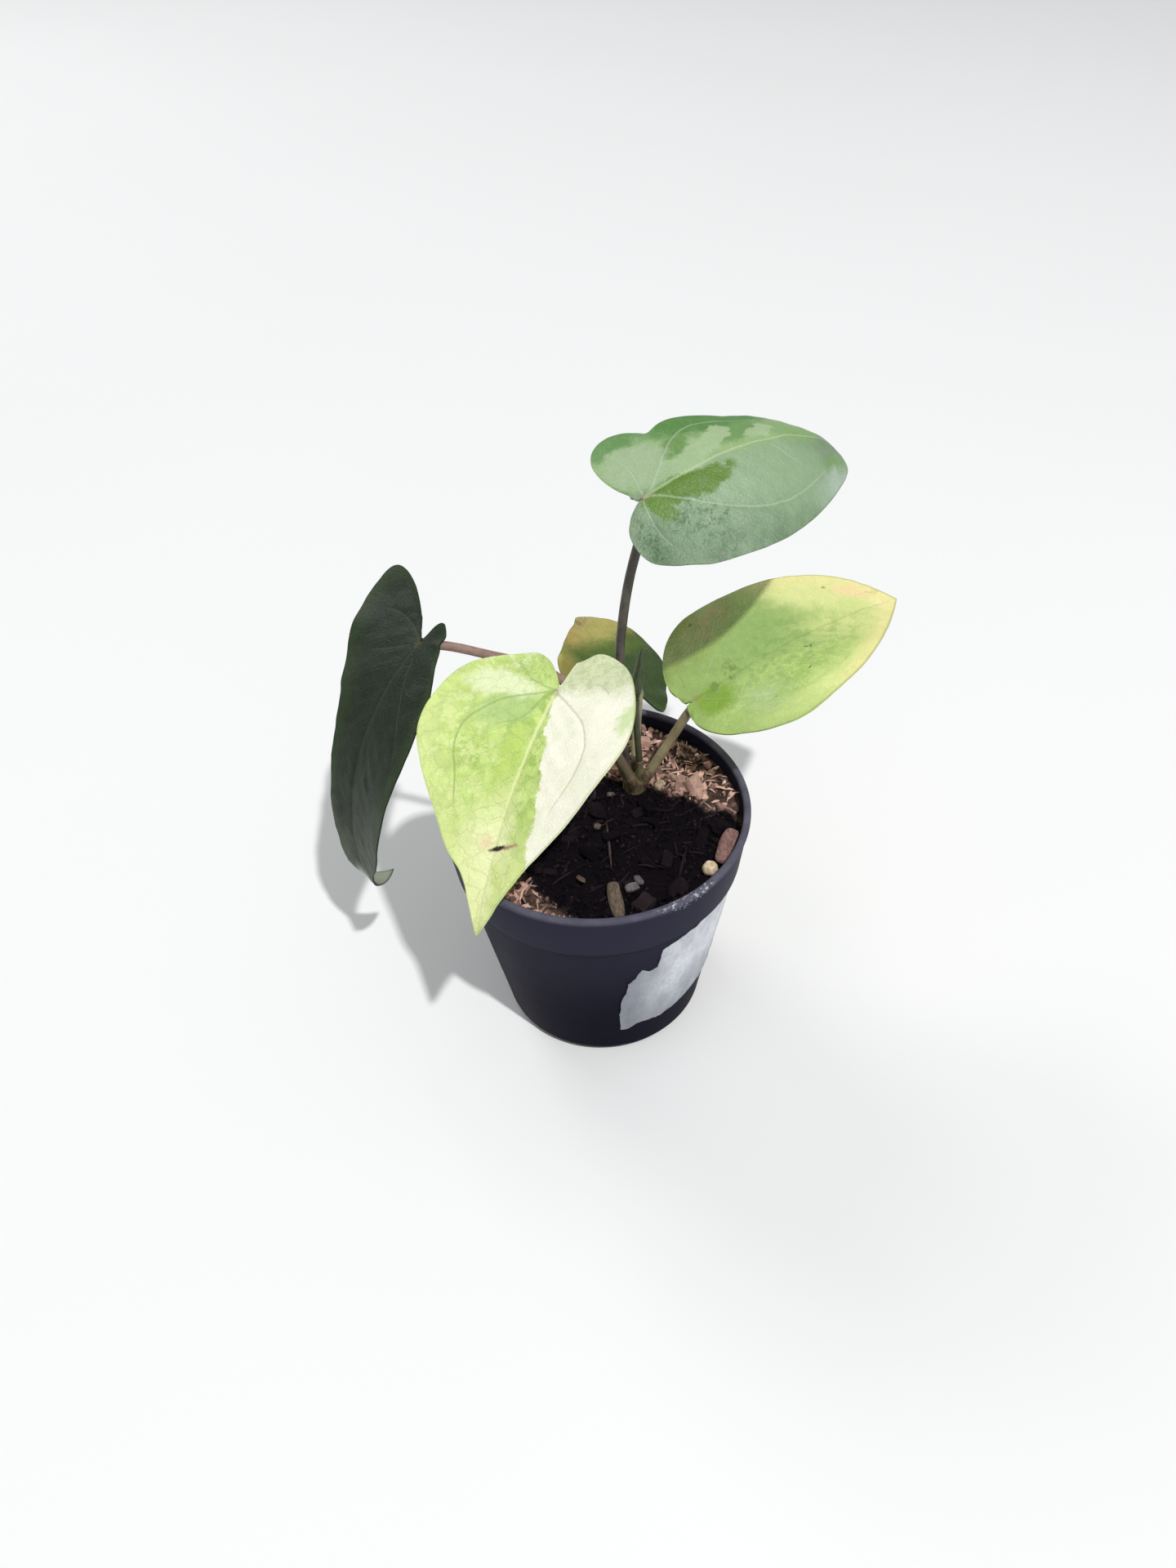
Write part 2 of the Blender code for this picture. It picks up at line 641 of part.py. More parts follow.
def make_crown(collection):
    """The short stem with one stub for each stalk, joined into one body."""
    paint = material("crown_skin", (0.16, 0.10, 0.07), 0.7)
    shape = bmesh.new()
    depth = CROWN_TOP - CROWN_FOOT
    place = Matrix.Translation(CROWN + Vector((0, 0, CROWN_FOOT + depth / 2)))
    bmesh.ops.create_cone(shape, cap_ends=True, segments=16, radius1=CROWN_RADIUS * 0.8,
                          radius2=CROWN_RADIUS * 0.9, depth=depth, matrix=place)
    crown = object_from_bmesh("crown", shape, collection, paint)
    repeats = new_collection("crown repeats")
    for stalk in (*STALKS, SPIKE_STALK):
        route = stalk_route(stalk)
        heading = (route[1] - route[0]).normalized()
        end = route[0] - heading * GAP
        root = CROWN + Vector((0, 0, STUB_ROOT)) + (end - CROWN).to_2d().to_3d() * 0.25
        points = smooth_route([root, end - heading * STUB_STRAIGHT], 6) + [end]
        radii = [stalk.radius * MM * STUB_SWELL] * 6 + [stalk.radius * MM]
        as_mesh(tube("stub_" + stalk.name, points, radii, repeats, paint), repeats)
    boolean(crown, "UNION", repeats)
    apply_modifiers(crown)
    for item in list(repeats.objects):
        bpy.data.objects.remove(item, do_unlink=True)
    bpy.data.collections.remove(repeats)
    return crown


def make_spike(collection):
    """The rolled blade: a spindle whose outer edge laps over along one side."""
    paint = material("new_leaf_green", (0.05, 0.09, 0.03), 0.5)
    points = [Vector(point) * MM for point in SPIKE_ROUTE]
    route = smooth_route(points, 13)
    radii = smooth_route([Vector((radius * MM, 0, 0)) for radius in SPIKE_RADII], 13)
    shape = bmesh.new()
    loops = []
    for number, middle in enumerate(route):
        ahead = route[min(number + 1, 12)] - route[max(number - 1, 0)]
        across = ahead.cross(Vector((0, 1, 0))).normalized()
        other = across.cross(ahead).normalized()
        loop = []
        for side in range(SPIKE_SIDES):
            angle = math.tau * side / SPIKE_SIDES
            radius = radii[number].x * (0.84 + 0.28 * side / SPIKE_SIDES)
            turn = angle + 1.2 * number / 12
            loop.append(shape.verts.new(
                middle + radius * (math.cos(turn) * across + math.sin(turn) * other)))
        loops.append(loop)
    for low, high in zip(loops, loops[1:]):
        for side in range(SPIKE_SIDES):
            following = (side + 1) % SPIKE_SIDES
            shape.faces.new((low[side], low[following], high[following], high[side]))
    shape.faces.new(reversed(loops[0]))
    shape.faces.new(loops[-1])
    bmesh.ops.recalc_face_normals(shape, faces=shape.faces)
    bmesh.ops.triangulate(shape, faces=shape.faces)
    return object_from_bmesh("blade_new", shape, collection, paint)


def main():
    clear_scene()
    plant = new_collection("potted anthurium")
    cutters = new_collection("cutters")
    make_pot(plant, cutters)
    make_label(plant)
    make_soil(plant, cutters)
    make_crown(plant)
    for leaf in LEAVES:
        make_blade(leaf, plant)
    for stalk in (*STALKS, SPIKE_STALK):
        make_stalk(stalk, plant)
    make_spike(plant)


main()
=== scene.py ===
"""The finished look of a young variegated anthurium in a round nursery pot.

Every piece replaces a solid of the part and lies where that solid is. A leaf is laid out in
its own frame: x runs from the stalk's joint to the tip, y to the left half, z out of the upper
face. Each vertex keeps its flat place on the leaf, so colours and veins follow the leaf and not
the room.
"""
import math
import random
from collections import namedtuple

import bpy
import numpy
from mathutils import Euler, Matrix, Vector, noise


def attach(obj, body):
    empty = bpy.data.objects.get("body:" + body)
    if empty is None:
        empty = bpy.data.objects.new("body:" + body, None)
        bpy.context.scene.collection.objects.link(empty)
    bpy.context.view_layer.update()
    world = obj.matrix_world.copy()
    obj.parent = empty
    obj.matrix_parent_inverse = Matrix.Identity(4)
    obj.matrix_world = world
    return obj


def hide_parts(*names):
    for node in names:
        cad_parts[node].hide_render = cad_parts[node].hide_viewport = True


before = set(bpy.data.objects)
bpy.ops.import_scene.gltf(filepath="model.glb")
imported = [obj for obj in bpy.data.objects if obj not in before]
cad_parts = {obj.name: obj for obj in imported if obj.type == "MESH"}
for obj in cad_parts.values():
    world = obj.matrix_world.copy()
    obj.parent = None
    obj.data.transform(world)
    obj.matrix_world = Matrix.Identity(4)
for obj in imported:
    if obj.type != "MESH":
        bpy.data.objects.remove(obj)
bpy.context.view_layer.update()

bl_info = {
    "name": "Potted anthurium",
    "version": (1, 0, 0),
    "blender": (4, 5, 0),
    "location": "View3D > Sidebar > Anthurium",
    "description": "Makes the finished leaves, stalks, soil, pot and label of a potted anthurium",
    "category": "Object",
}

MM = 0.001

# Pot
POT_HEIGHT = 79.0 * MM
LIP_RADIUS = 45.0 * MM
LIP_BEAD = 1.1 * MM
BAND_HEIGHT = 17.0 * MM
SHELF = POT_HEIGHT - BAND_HEIGHT
BAND_TOP_RADIUS = 44.4 * MM
BAND_FOOT_RADIUS = 42.9 * MM
WALL_TOP_RADIUS = 41.5 * MM
WALL_FOOT_RADIUS = 32.0 * MM
CORNER = 3.4 * MM
WALL = 1.3 * MM
FLOOR = 1.4 * MM
DRAIN_COUNT = 8
DRAIN_RADIUS = 3.0 * MM
DRAIN_CIRCLE = 20.5 * MM
CHANNEL_WIDTH = 2.6 * MM
CHANNEL_DEPTH = 0.7 * MM

# Label: its outline as (degrees round the pot, height in mm), the steps along it and over it,
# and how far its cut and its torn edges wander
LABEL_STEP = 1.2
LABEL_MESH = (1.3, 1.0)
CUT_WANDER = 0.12
TORN_WANDER = 0.55
TORN_SIDE = -50
LABEL_OUTLINE = (
    (8, 60.4), (-20, 60.4), (-45, 60.0), (-53, 58.6), (-62, 57.4), (-66, 56.0),
    (-66.5, 52.0), (-67.6, 47.2), (-71, 46.6), (-74.4, 48.6), (-77.4, 44.6), (-80.4, 42.0),
    (-81, 37.2), (-83.3, 32.0), (-84, 24.6), (-83.4, 14.8), (-80, 13.6), (-75, 15.6),
    (-69.5, 16.4), (-62, 15.5), (-55, 16.2), (-48, 17.4), (-40, 18.8), (-28, 19.6), (8, 20.0),
)

# Soil
SOIL_HEIGHT = 74.6 * MM
SOIL_EDGE_DROP = 1.6 * MM
SOIL_BUMP = 1.3 * MM
SOIL_GAP = 0.3 * MM
SOIL_RINGS = 66
SOIL_STEPS = 150
CHIP_COUNT = 52
CHIP_SPACING = 2.6 * MM
CHIP_CLEAR = 4.2 * MM
CHIP_LENGTH = (3.0, 7.0)
FIBRE_COUNT = 8
FIBRE_CLEAR = 8.0 * MM
FIBRE_LENGTH = (9, 14)
FIBRE_THICK = 0.9
CHIP_SEED = 11
CRUMB_LENGTH = (0.5, 1.5)
PATCH_CRUMB = 2.0             # how much longer a crumb can be in the two coarse patches, mm
SHAVING_LENGTH = (2.5, 7.5)
SHAVING_THICK = (0.3, 1.0)
SHADE_BAND_SHARE = 0.6            # share of the shavings left out in the painted shade band
LOOSE_EDGE = 1.6 * MM
BIT_SEED = 3

GRAIN_PLACE = Vector((30.7, -24.8, 75.6)) * MM
GRAIN_RADIUS = 2.2 * MM

# Bits that stand out in the soil: name, shape, place and size in mm, turn in radians, colour
MARKED_BITS = (
    ("red_chip", "block", (36.3, -16.7, 75.6), (11.0, 4.0, 2.2), (0.1, -0.1, 1.16),
     (150, 112, 106)),
    ("tan_chip", "block", (3.9, -34.2, 75.2), (10.5, 3.4, 2.4), (0.2, 0.15, -1.45),
     (116, 100, 84)),
    ("grey_chip", "block", (8.6, -30.0, 75.4), (3.6, 2.2, 1.4), (0.3, 0.2, 0.5),
     (120, 112, 116)),
    ("grey_chip_2", "block", (10.6, -27.4, 75.3), (3.0, 1.8, 1.2), (0.5, 0.0, 2.1),
     (104, 96, 100)),
    ("pale_bit", "block", (4.7, 6.6, 75.6), (2.2, 1.5, 1.0), (0.2, 0.3, 0.4),
     (118, 100, 92)),
    ("pale_bit_2", "block", (0.2, -6.0, 75.5), (2.4, 1.6, 1.1), (0.1, 0.4, 1.1),
     (104, 90, 84)),
    ("tan_shaving", "splinter", (-5.2, -26.1, 75.6), (6.5, 2.2, 1.0), (0.3, 0.5, 1.9),
     (116, 92, 76)),
    ("thin_root", "splinter", (3.1, -12.5, 75.3), (20.0, 0.8, 0.8), (0.0, 0.05, 1.6),
     (78, 64, 62)),
    ("foot_bit", "block", (19.5, 9.5, 75.8), (3.4, 2.4, 1.6), (0.3, 0.2, 0.9),
     (196, 172, 146)),
    ("foot_bit_2", "block", (23.5, 12.5, 75.8), (3.8, 1.8, 1.4), (0.1, 0.5, 2.2),
     (178, 150, 126)),
)

# Crown and stalks
CROWN = Vector((12.0, 10.4, 0.0)) * MM
CROWN_FOOT = 60.0 * MM
CROWN_TOP = 78.6 * MM
CROWN_RADIUS = 4.0 * MM
CROWN_VOXEL = 0.28 * MM
CROWN_LUMPS = 0.14 * MM
STUB_ROOT = 74.0 * MM
SHEATH_STEPS = 12
STALK_LEAD = 3.6 * MM
STALK_SMOOTHING = 4
BELOW_BLADE = 0.35 * MM
FOOT_SWELL = 0.12
END_SWELL = 0.18

# Stage: where the photograph was taken from, its right, up and back directions, and the lights
# as directions from the plant with a distance in m
CAMERA_PLACE = Vector((-1.9, -244.4, 320.4)) * MM
CAMERA_TURN = ((0.9985, -0.038, -0.0397), (0.055, 0.6898, 0.7219), (0.0, -0.723, 0.6909))
CAMERA_LENS = 27.11
PLANT_MIDDLE = Vector((0, 0, 0.09))
KEY_WAY, KEY_DISTANCE = Vector((0.25, -0.433, 0.866)), 3.0
BACK_WAY, BACK_DISTANCE = Vector((-0.5, 0.62, 0.6)), 2.6
BACK_SIZE = 1.2
FLOOR_SIZE = 8
FLOOR_HEIGHT = -0.0002

# Leaves, in degrees and mm
OUTLINE_ANGLES = (0, 6, 14, 26, 42, 62, 84, 104, 122, 140, 162)
NOTCH_ANGLE = 174.0
NARROW_LOBE = 7.0        # a lobe that ends at less than this, mm, is rounded off
NARROW_LOBE_START = 140  # and from this angle, degrees
ROUND_LOBE_START = 156
ROUND_LOBES = ("blade_left", "blade_back")
TIP_CURL_LENGTH = 12.0
RAY_GATHER = 1.4         # above 1, the blade's rays lie closer together towards the tip
LONGEST_LOBE = 40.0
LONGEST_BLADE = 95.0
SIDE_VEIN_STEP = 6.4     # mm along the midrib
SIDE_VEIN_LEAN = 0.85    # mm forwards for each mm outwards

Leaf = namedtuple("Leaf", (
    "name",      # what the leaf is called
    "joint",     # where the stalk meets the blade, mm
    "yaw",       # heading of the tip seen from above, degrees from +X
    "rise",      # how far the blade points up at the joint, degrees
    "roll",      # how far the left half is lifted, degrees
    "bend",      # downward turn along the midrib, degrees per mm, at the joint
    "droop",     # growth of that turn, degrees per mm squared
    "back",      # the same turn behind the joint, degrees per mm
    "fold",      # slope of the left and right half at the joint, and of both near the tip
    "cup",       # how much the halves curve upwards, per mm
    "twist",     # how much the right half lifts towards the tip, per mm
    "curl",      # sharp turn of the last millimetres at the tip, degrees per mm
    "wave",      # height of the margin's waves, mm
    "left",      # reach of the left half at the outline angles, mm
    "right",     # reach of the right half at the outline angles, mm
))

LEAVES = (
    Leaf("blade_top", (15.8, 17.3, 167.8), 20.4, 24.9, 18.0, 0.713, 0.0103, 0.22,
         (-0.17, -0.348, -0.4), -0.0007, 0.0, 0.0, 0.5,
         (77.4, 66, 54.8, 41.8, 31.7, 24.8, 25.3, 20.5, 6.0, 3.0, 2.4),
         (77.4, 70, 60.2, 48.6, 37.3, 27.1, 21, 17.8, 15.3, 11, 5)),
    Leaf("blade_right", (30.9, 20.6, 99.0), 22.6, 24.0, -1.4, 0.301, 0.0029, 0.0,
         (0.144, 0.144, 0.144), -0.0004, 0.0008, 0.0, 0.6,
         (69.8, 66.2, 60.8, 49.9, 39.3, 31.6, 22, 14, 8, 5, 4),
         (69.8, 64, 57.8, 50, 41.2, 35, 22.2, 14.6, 9, 5.6, 4)),
    Leaf("blade_front", (-9.0, 4.3, 118.1), -118.0, -14.4, 11.5, 0.470, 0.0009, -0.13,
         (0.222, 0.222, 0.222), 0.0005, -0.0001, 0.0, 0.7,
         (70.2, 59.8, 51.5, 44.5, 39.2, 35.3, 27.6, 22.7, 19.3, 16.3, 12.4),
         (70.2, 57.4, 52, 45.1, 40.3, 37, 29.6, 21.9, 17.8, 13, 4)),
    Leaf("blade_left", (-48.4, 32.1, 116.3), -139.0, -26.4, 9.5, 0.826, 0.0009, -0.06,
         (-0.28, 0.114, 0.114), 0.0, 0.0, 8.0, 0.6,
         (91, 75.4, 66, 48, 28, 15, 9, 7.6, 7.4, 8.4, 9.2),
         (91, 79.5, 49.5, 32.8, 28.7, 27.2, 28.4, 33, 31.5, 4.5, 2.2)),
    Leaf("blade_back", (13.0, 54.0, 80.0), 119.0, 14.0, 22.0, 0.1, 0.008, 0.0,
         (0.0, -0.05, 0.0), 0.0, 0.0, 0.0, 0.5,
         (32.6, 29.4, 27.4, 25.3, 24, 24.8, 23.6, 19.6, 15, 10, 6),
         (32.6, 33.4, 33.8, 32.6, 29.2, 25, 19, 15.4, 14, 14.4, 15)),
)

# Dips in a leaf's margin, or bulges where negative: middle and width in degrees from the tip,
# and depth as a share of the reach
DIPS = {
    "blade_top": ((57.0, 5.0, 0.09), (72.0, 7.0, -0.03)),
    "blade_left": ((20.0, 16.0, -0.045),),
}

Stalk = namedtuple("Stalk", (
    "name",      # what the stalk is called
    "route",     # points along its middle from the crown upwards, mm
    "radius",    # half its thickness, mm
    "meets",     # how it meets its blade: "under" the joint, "along" the underside, at the "notch"
    "tones",     # plain, pale and dark colour of its skin
))

STALKS = (
    Stalk("petiole_top",
          ((9.6, 10.4, 83.0), (8.4, 11.4, 100.0), (8.5, 13.2, 122.0), (11.2, 15.0, 143.0),
           (14.2, 16.9, 154.0)), 1.3, "under",
          ((58, 53, 49), (88, 81, 72), (36, 31, 31))),
    Stalk("petiole_right",
          ((16.4, 9.8, 81.0), (20.6, 13.2, 85.6), (24.8, 16.4, 90.6)), 1.4, "along",
          ((110, 98, 74), (140, 128, 92), (78, 62, 50))),
    # The front stalk's olive-brown tones are darkened as painted shade, this stalk standing in
    # shade under the front leaf.
    Stalk("petiole_front",
          ((10.4, 6.4, 82.4), (6.4, 5.4, 94.0), (-1.0, 5.6, 107.0)), 1.3, "under",
          ((96, 86, 66), (128, 112, 88), (66, 54, 44))),
    Stalk("petiole_left",
          ((8.0, 14.0, 83.0), (1.0, 18.4, 100.0), (-12.0, 21.6, 112.4), (-26.6, 25.0, 115.2),
           (-37.0, 29.6, 115.6)), 1.35, "along",
          ((140, 110, 98), (172, 144, 132), (98, 68, 58))),
    Stalk("petiole_back",
          ((12.8, 14.8, 81.4), (13.6, 24.0, 85.0), (15.0, 36.0, 86.2), (15.8, 43.0, 84.6),
           (16.3, 47.4, 79.2)), 1.3, "notch",
          ((112, 112, 76), (150, 148, 104), (80, 70, 50))),
    Stalk("petiole_new",
          ((13.6, 10.7, 84.6), (13.0, 11.9, 96.0), (12.9, 12.9, 106.4)), 0.95, None,
          ((56, 56, 42), (82, 82, 60), (42, 38, 32))),
)

# The rolled leaf
SPIKE_ROUTE = ((12.9, 12.95, 106.75), (13.3, 13.2, 111.0), (14.1, 13.5, 116.0),
               (14.9, 13.9, 123.6))
SPIKE_RADII = (0.98, 1.6, 1.3, 0.3)
SPIKE_STEPS = 60
SPIKE_SIDES = 40

# Veins of each leaf in its flat frame: points in mm, half widths at both ends, and whether the
# line is followed along x or along y
Vein = namedtuple("Vein", ("points", "wide", "along"))
VEINS = {
    "blade_top": (
        Vein(((0, 0), (6, 4.2), (10, 6.9), (13.3, 10.8), (17.5, 14.2), (23.5, 15.8), (30, 15.5),
              (45, 12), (60, 6.5)), (0.45, 0.2), "x"),
        Vein(((0, 0), (6.7, -4.2), (13.3, -9.2), (20, -13.8), (26.7, -15.7), (33.3, -16.3),
              (40, -15.4), (46.7, -13.3), (51.7, -11), (60, -8)), (0.4, 0.25), "x"),
        Vein(((37.5, -1.7), (40, -4.2), (45, -8.3), (48.3, -10.4)), (0.22, 0.12), "x"),
        Vein(((0, 0), (1.6, 8), (1.2, 15), (-1, 21)), (0.35, 0.15), "y"),
        Vein(((0, 0), (-1.6, -6), (-1.4, -12), (1.5, -18)), (0.35, 0.15), "y"),
    ),
    "blade_right": (
        Vein(((0, 0), (7.5, 5), (10, 8.3), (15, 11.3), (20, 13.8), (30, 15.5), (45, 12)),
             (0.4, 0.2), "x"),
        Vein(((0, 0), (6, -6), (12, -13), (20, -18), (30, -19), (38, -18.7), (52, -12)),
             (0.4, 0.25), "x"),
        Vein(((0, 0), (-0.6, 5), (0.6, 12)), (0.3, 0.15), "y"),
    ),
    "blade_front": (
        Vein(((0, 0), (3.3, 4.2), (6.7, 10), (10, 13.8), (15, 17.1), (20, 18.7), (24.2, 19),
              (26.7, 18), (29.6, 16.3), (33.3, 15.7), (39, 14.5)), (0.4, 0.25), "x"),
        Vein(((0, 0), (1.7, -4.2), (5, -10), (9.2, -16.3), (15, -19.2), (21.7, -20.4),
              (27.5, -19.2), (30, -16.5), (33.3, -16.5), (39, -14.6), (43, -11)),
             (0.45, 0.3), "x"),
        Vein(((0, 0), (7.5, -4.2), (12.5, -8.3), (15, -13.3)), (0.6, 0.3), "x"),
        Vein(((0, 0), (-1.2, -5), (-2.5, -10)), (0.35, 0.15), "y"),
        Vein(((1.3, 18.3), (-1.3, 15), (-2, 11.7)), (0.3, 0.2), "y"),
    ),
    "blade_left": (
        Vein(((0, 0), (-4, -9), (-2.5, -23)), (0.5, 0.2), "y"),
        Vein(((1.7, -2.5), (5.8, -8.3), (9.2, -14)), (0.4, 0.2), "x"),
        Vein(((31.7, 1.7), (42.5, 8.3), (47.5, 11.7)), (0.35, 0.25), "x"),
        Vein(((4, 2), (20, 9.2), (28.3, 14.2), (36.7, 18.3)), (0.35, 0.2), "x"),
    ),
    "blade_back": (
        Vein(((0, 0), (10, 10), (20, 12), (29, 6)), (0.35, 0.2), "x"),
        Vein(((0, 0), (10, -11), (20, -13), (29, -7)), (0.35, 0.2), "x"),
    ),
}

# Areas of colour on each leaf, painted in this order: middle and half size in mm, turn in
# degrees, softness of the edge, kind (0 whole, 1 in small flecks, 2 in patches), strength, and
# the colour in 0 to 255 steps
AREAS = {
    "blade_top": (
        (30, -7, 30, 11, -12, 0.6, 0, 0.9, (150, 176, 138)),
        (26, 12, 44, 13, -4, 0.2, 0, 1.0, (152, 181, 124)),
        (20, 5, 12, 4.2, 18, 0.25, 0, 1.0, (162, 187, 140)),
        (30, 17.5, 21, 6.8, -8, 0.3, 0, 1.0, (88, 136, 66)),
        (33.5, 7.2, 8.5, 4.2, 22, 0.3, 0, 0.9, (106, 150, 80)),
        (50, 4.4, 9, 6, 0, 0.5, 0, 0.8, (128, 168, 100)),
        (15, 10, 5, 3.6, 45, 0.3, 0, 0.9, (100, 142, 70)),
        (25, 7, 8.5, 3.6, 35, 0.12, 0, 1.0, (166, 191, 143)),
        (38, 4.6, 5.5, 3.0, 25, 0.15, 0, 0.95, (168, 192, 146)),
        (4, 11, 8, 9, 20, 0.2, 0, 1.0, (158, 182, 140)),
        (3, 22.5, 9, 3.8, 8, 0.35, 0, 0.95, (96, 142, 76)),
        (11.5, -3.2, 13, 3.2, -8, 0.2, 0, 1.0, (92, 130, 38)),
        (2.7, -5.4, 2.8, 3.4, 10, 0.25, 0, 1.0, (102, 138, 54)),
        (66, -5.5, 12, 2.2, 14, 0.4, 0, 0.9, (120, 160, 92)),
        (62, -12.5, 13, 4, 20, 0.6, 0, 0.7, (184, 203, 186)),
        (-5.5, -10, 3, 6.5, 0, 0.3, 1, 0.85, (76, 106, 70)),
        (9.5, -11, 9, 4.5, -20, 0.3, 1, 0.85, (84, 116, 76)),
        (11, -20, 7, 4, -20, 0.3, 1, 0.7, (88, 118, 82)),
        (24, -25, 26, 4, 8, 0.6, 1, 0.3, (96, 122, 94)),
    ),
    "blade_right": (
        (24, -14, 26, 14, 0, 0.6, 0, 0.9, (172, 202, 104)),
        (40, 6, 34, 12, -4, 0.5, 0, 0.8, (152, 182, 104)),
        (30, 4, 10, 6, 10, 0.5, 2, 0.5, (132, 166, 88)),
        (62, 0, 22, 17, 0, 0.55, 0, 1.0, (216, 226, 146)),
        (50, 13, 17, 6, -24, 0.45, 0, 0.95, (228, 232, 158)),
        (40, -24, 22, 7, 10, 0.5, 0, 1.0, (224, 238, 152)),
        (20, -27, 12, 5, -12, 0.5, 0, 0.7, (200, 222, 134)),
        (28, -4, 24, 12, 0, 0.5, 2, 0.5, (136, 170, 92)),
        (24, -14, 22, 11, 0, 0.5, 1, 0.5, (208, 226, 150)),
        # Darker olive where the top leaf's shadow falls on this leaf: painted shade.
        (14, 23, 17, 9, 22, 0.4, 0, 0.6, (132, 140, 66)),
        (4, -5, 6, 6, 0, 0.4, 0, 1.0, (128, 166, 36)),
        (10, 1, 7, 2.6, 25, 0.4, 2, 0.8, (112, 138, 58)),
        (17, 22, 8, 5, 20, 0.6, 2, 0.5, (176, 152, 98)),
        (61, 8.5, 7, 3, -28, 0.5, 0, 0.9, (255, 214, 170)),
        (65.6, 5.4, 2.6, 0.6, -30, 0.5, 0, 1.0, (135, 92, 66)),
        (68, 0.6, 6, 3.5, 0, 0.6, 0, 0.9, (255, 246, 184)),
        (15, -15.5, 6, 7.5, 0, 0.8, 0, 0.45, (172, 196, 140)),
        (15.5, -16.5, 4.5, 5, 0, 0.8, 2, 0.35, (206, 218, 178)),
        (17.9, -17.5, 0.5, 0.45, 0, 0.3, 0, 0.9, (84, 94, 50)),
        (35.6, -6.4, 0.45, 0.4, 0, 0.3, 0, 0.9, (88, 98, 52)),
        (30.3, -14.8, 0.5, 0.4, 30, 0.3, 0, 0.9, (88, 98, 52)),
        (52.3, 13.2, 0.45, 0.45, 0, 0.3, 0, 0.9, (110, 100, 60)),
        (12.9, 24.3, 0.5, 0.45, 0, 0.3, 0, 0.9, (80, 84, 46)),
    ),
    "blade_front": (
        (24, -19, 28, 15, 0, 0.5, 2, 0.6, (230, 242, 168)),
        (30, 3.5, 20, 5, 0, 0.5, 2, 0.7, (160, 194, 84)),
        (9, -4.5, 11, 4.5, -32, 0.5, 2, 0.7, (150, 186, 84)),
        (8.5, -11, 8.5, 5.5, -58, 0.35, 0, 0.85, (182, 210, 132)),
        (1.8, -15, 4.0, 11, 8, 0.35, 0, 0.9, (236, 245, 198)),
        (-5.5, -8.5, 4.6, 6.5, 0, 0.4, 1, 0.9, (160, 190, 112)),
        (-7, -16, 4, 8, 20, 0.5, 2, 0.6, (232, 240, 196)),
        (25, -4.5, 14, 3.2, -4, 0.5, 0, 0.7, (186, 214, 98)),
        (24, -14, 7, 5, 0, 0.6, 1, 0.8, (164, 198, 88)),
        (54, -2, 20, 8, 0, 0.6, 0, 0.9, (246, 250, 192)),
        (59, 4, 9, 2.4, 12, 0.6, 0, 0.6, (190, 214, 104)),
        (70, 0, 2.4, 3, 0, 0.5, 0, 0.7, (190, 184, 116)),
    ),
    "blade_left": (
        (70, -4, 5, 7, 0, 0.5, 0, 0.7, (66, 78, 58)),
        (30, -14, 22, 9, 10, 0.6, 1, 0.5, (48, 60, 42)),
        (55, 6, 20, 8, -20, 0.6, 1, 0.4, (46, 58, 40)),
        (86, 0, 8.5, 6, 0, 0.35, 0, 1.0, (196, 204, 184)),
    ),
    "blade_back": (
        (36, 2, 17.5, 30, 4, 0.2, 0, 1.0, (255, 242, 140)),
        (14, 22, 14, 8, -12, 0.5, 0, 0.9, (226, 206, 110)),
        (16, 0, 4.5, 22, 6, 0.6, 0, 0.5, (160, 190, 80)),
        (27, 10, 8, 8, 20, 0.6, 0, 0.8, (255, 222, 132)),
        (31, 1.0, 3.4, 6.5, 6, 0.5, 1, 0.9, (206, 168, 140)),
        (31.5, 5.0, 3.0, 4.0, 6, 0.5, 0, 0.8, (150, 116, 96)),
    ),
}

Look = namedtuple("Look", (
    "base",      # main colour of the upper face
    "veins",     # colour of the veins
    "midrib",    # colour of the midrib
    "under",     # colour of the underside
    "strength",  # how strongly the side veins, the main veins, the midrib and the net show
    "sheen",     # how much the upper face reflects
    "rib",       # half widths of the midrib at its ends, mm
    "joint",     # strength of the brown spot over the joint
    "rim",       # paler rim: its start and end as shares of the reach, strength and colour
    "rim_from",  # where the rim fades in along the midrib, mm
))
LOOKS = {
    "blade_top": Look((120, 146, 112), (192, 210, 176), (196, 212, 166), (132, 152, 112),
                      (0.05, 0.36, 0.5, 0.05), 0.42, (0.5, 0.2), 0.4, None, None),
    "blade_right": Look((152, 180, 96), (186, 206, 138), (120, 150, 66), (160, 178, 110),
                        (0.08, 0.14, 0.22, 0.1), 0.36, (0.5, 0.2), 0.4,
                        (0.84, 0.99, 0.85, (246, 236, 164)), (24, 44)),
    "blade_front": Look((204, 227, 132), (150, 180, 96), (234, 242, 176), (198, 212, 150),
                        (0.24, 0.65, 0.8, 0.2), 0.36, (0.75, 0.25), 0.4,
                        (0.72, 0.99, 0.45, (234, 243, 168)), (4, 16)),
    "blade_left": Look((38, 48, 36), (74, 88, 62), (74, 90, 62), (84, 100, 70),
                       (0.06, 0.3, 0.3, 0.06), 0.16, (0.5, 0.2), 0.15,
                       (0.7, 0.98, 0.5, (58, 76, 44)), None),
    "blade_back": Look((88, 116, 62), (150, 168, 108), (158, 174, 110), (170, 172, 110),
                       (0.06, 0.25, 0.3, 0.05), 0.3, (0.5, 0.2), 0.4, None, None),
}

# The cream half of the front leaf, whose edge is given by points in mm
VEIN_CREAM = (206, 196, 172)
CREAM = (255, 253, 234)
CREAM_EDGE = ((0, 0.5), (5, 1.2), (10, 1.9), (15, 3.6), (20, 5.4), (24, 7.5), (27.5, 8.6),
              (32.5, 8.2), (36.7, 9.0), (40, 11), (43.3, 11.8), (46.7, 11), (50.8, 12))


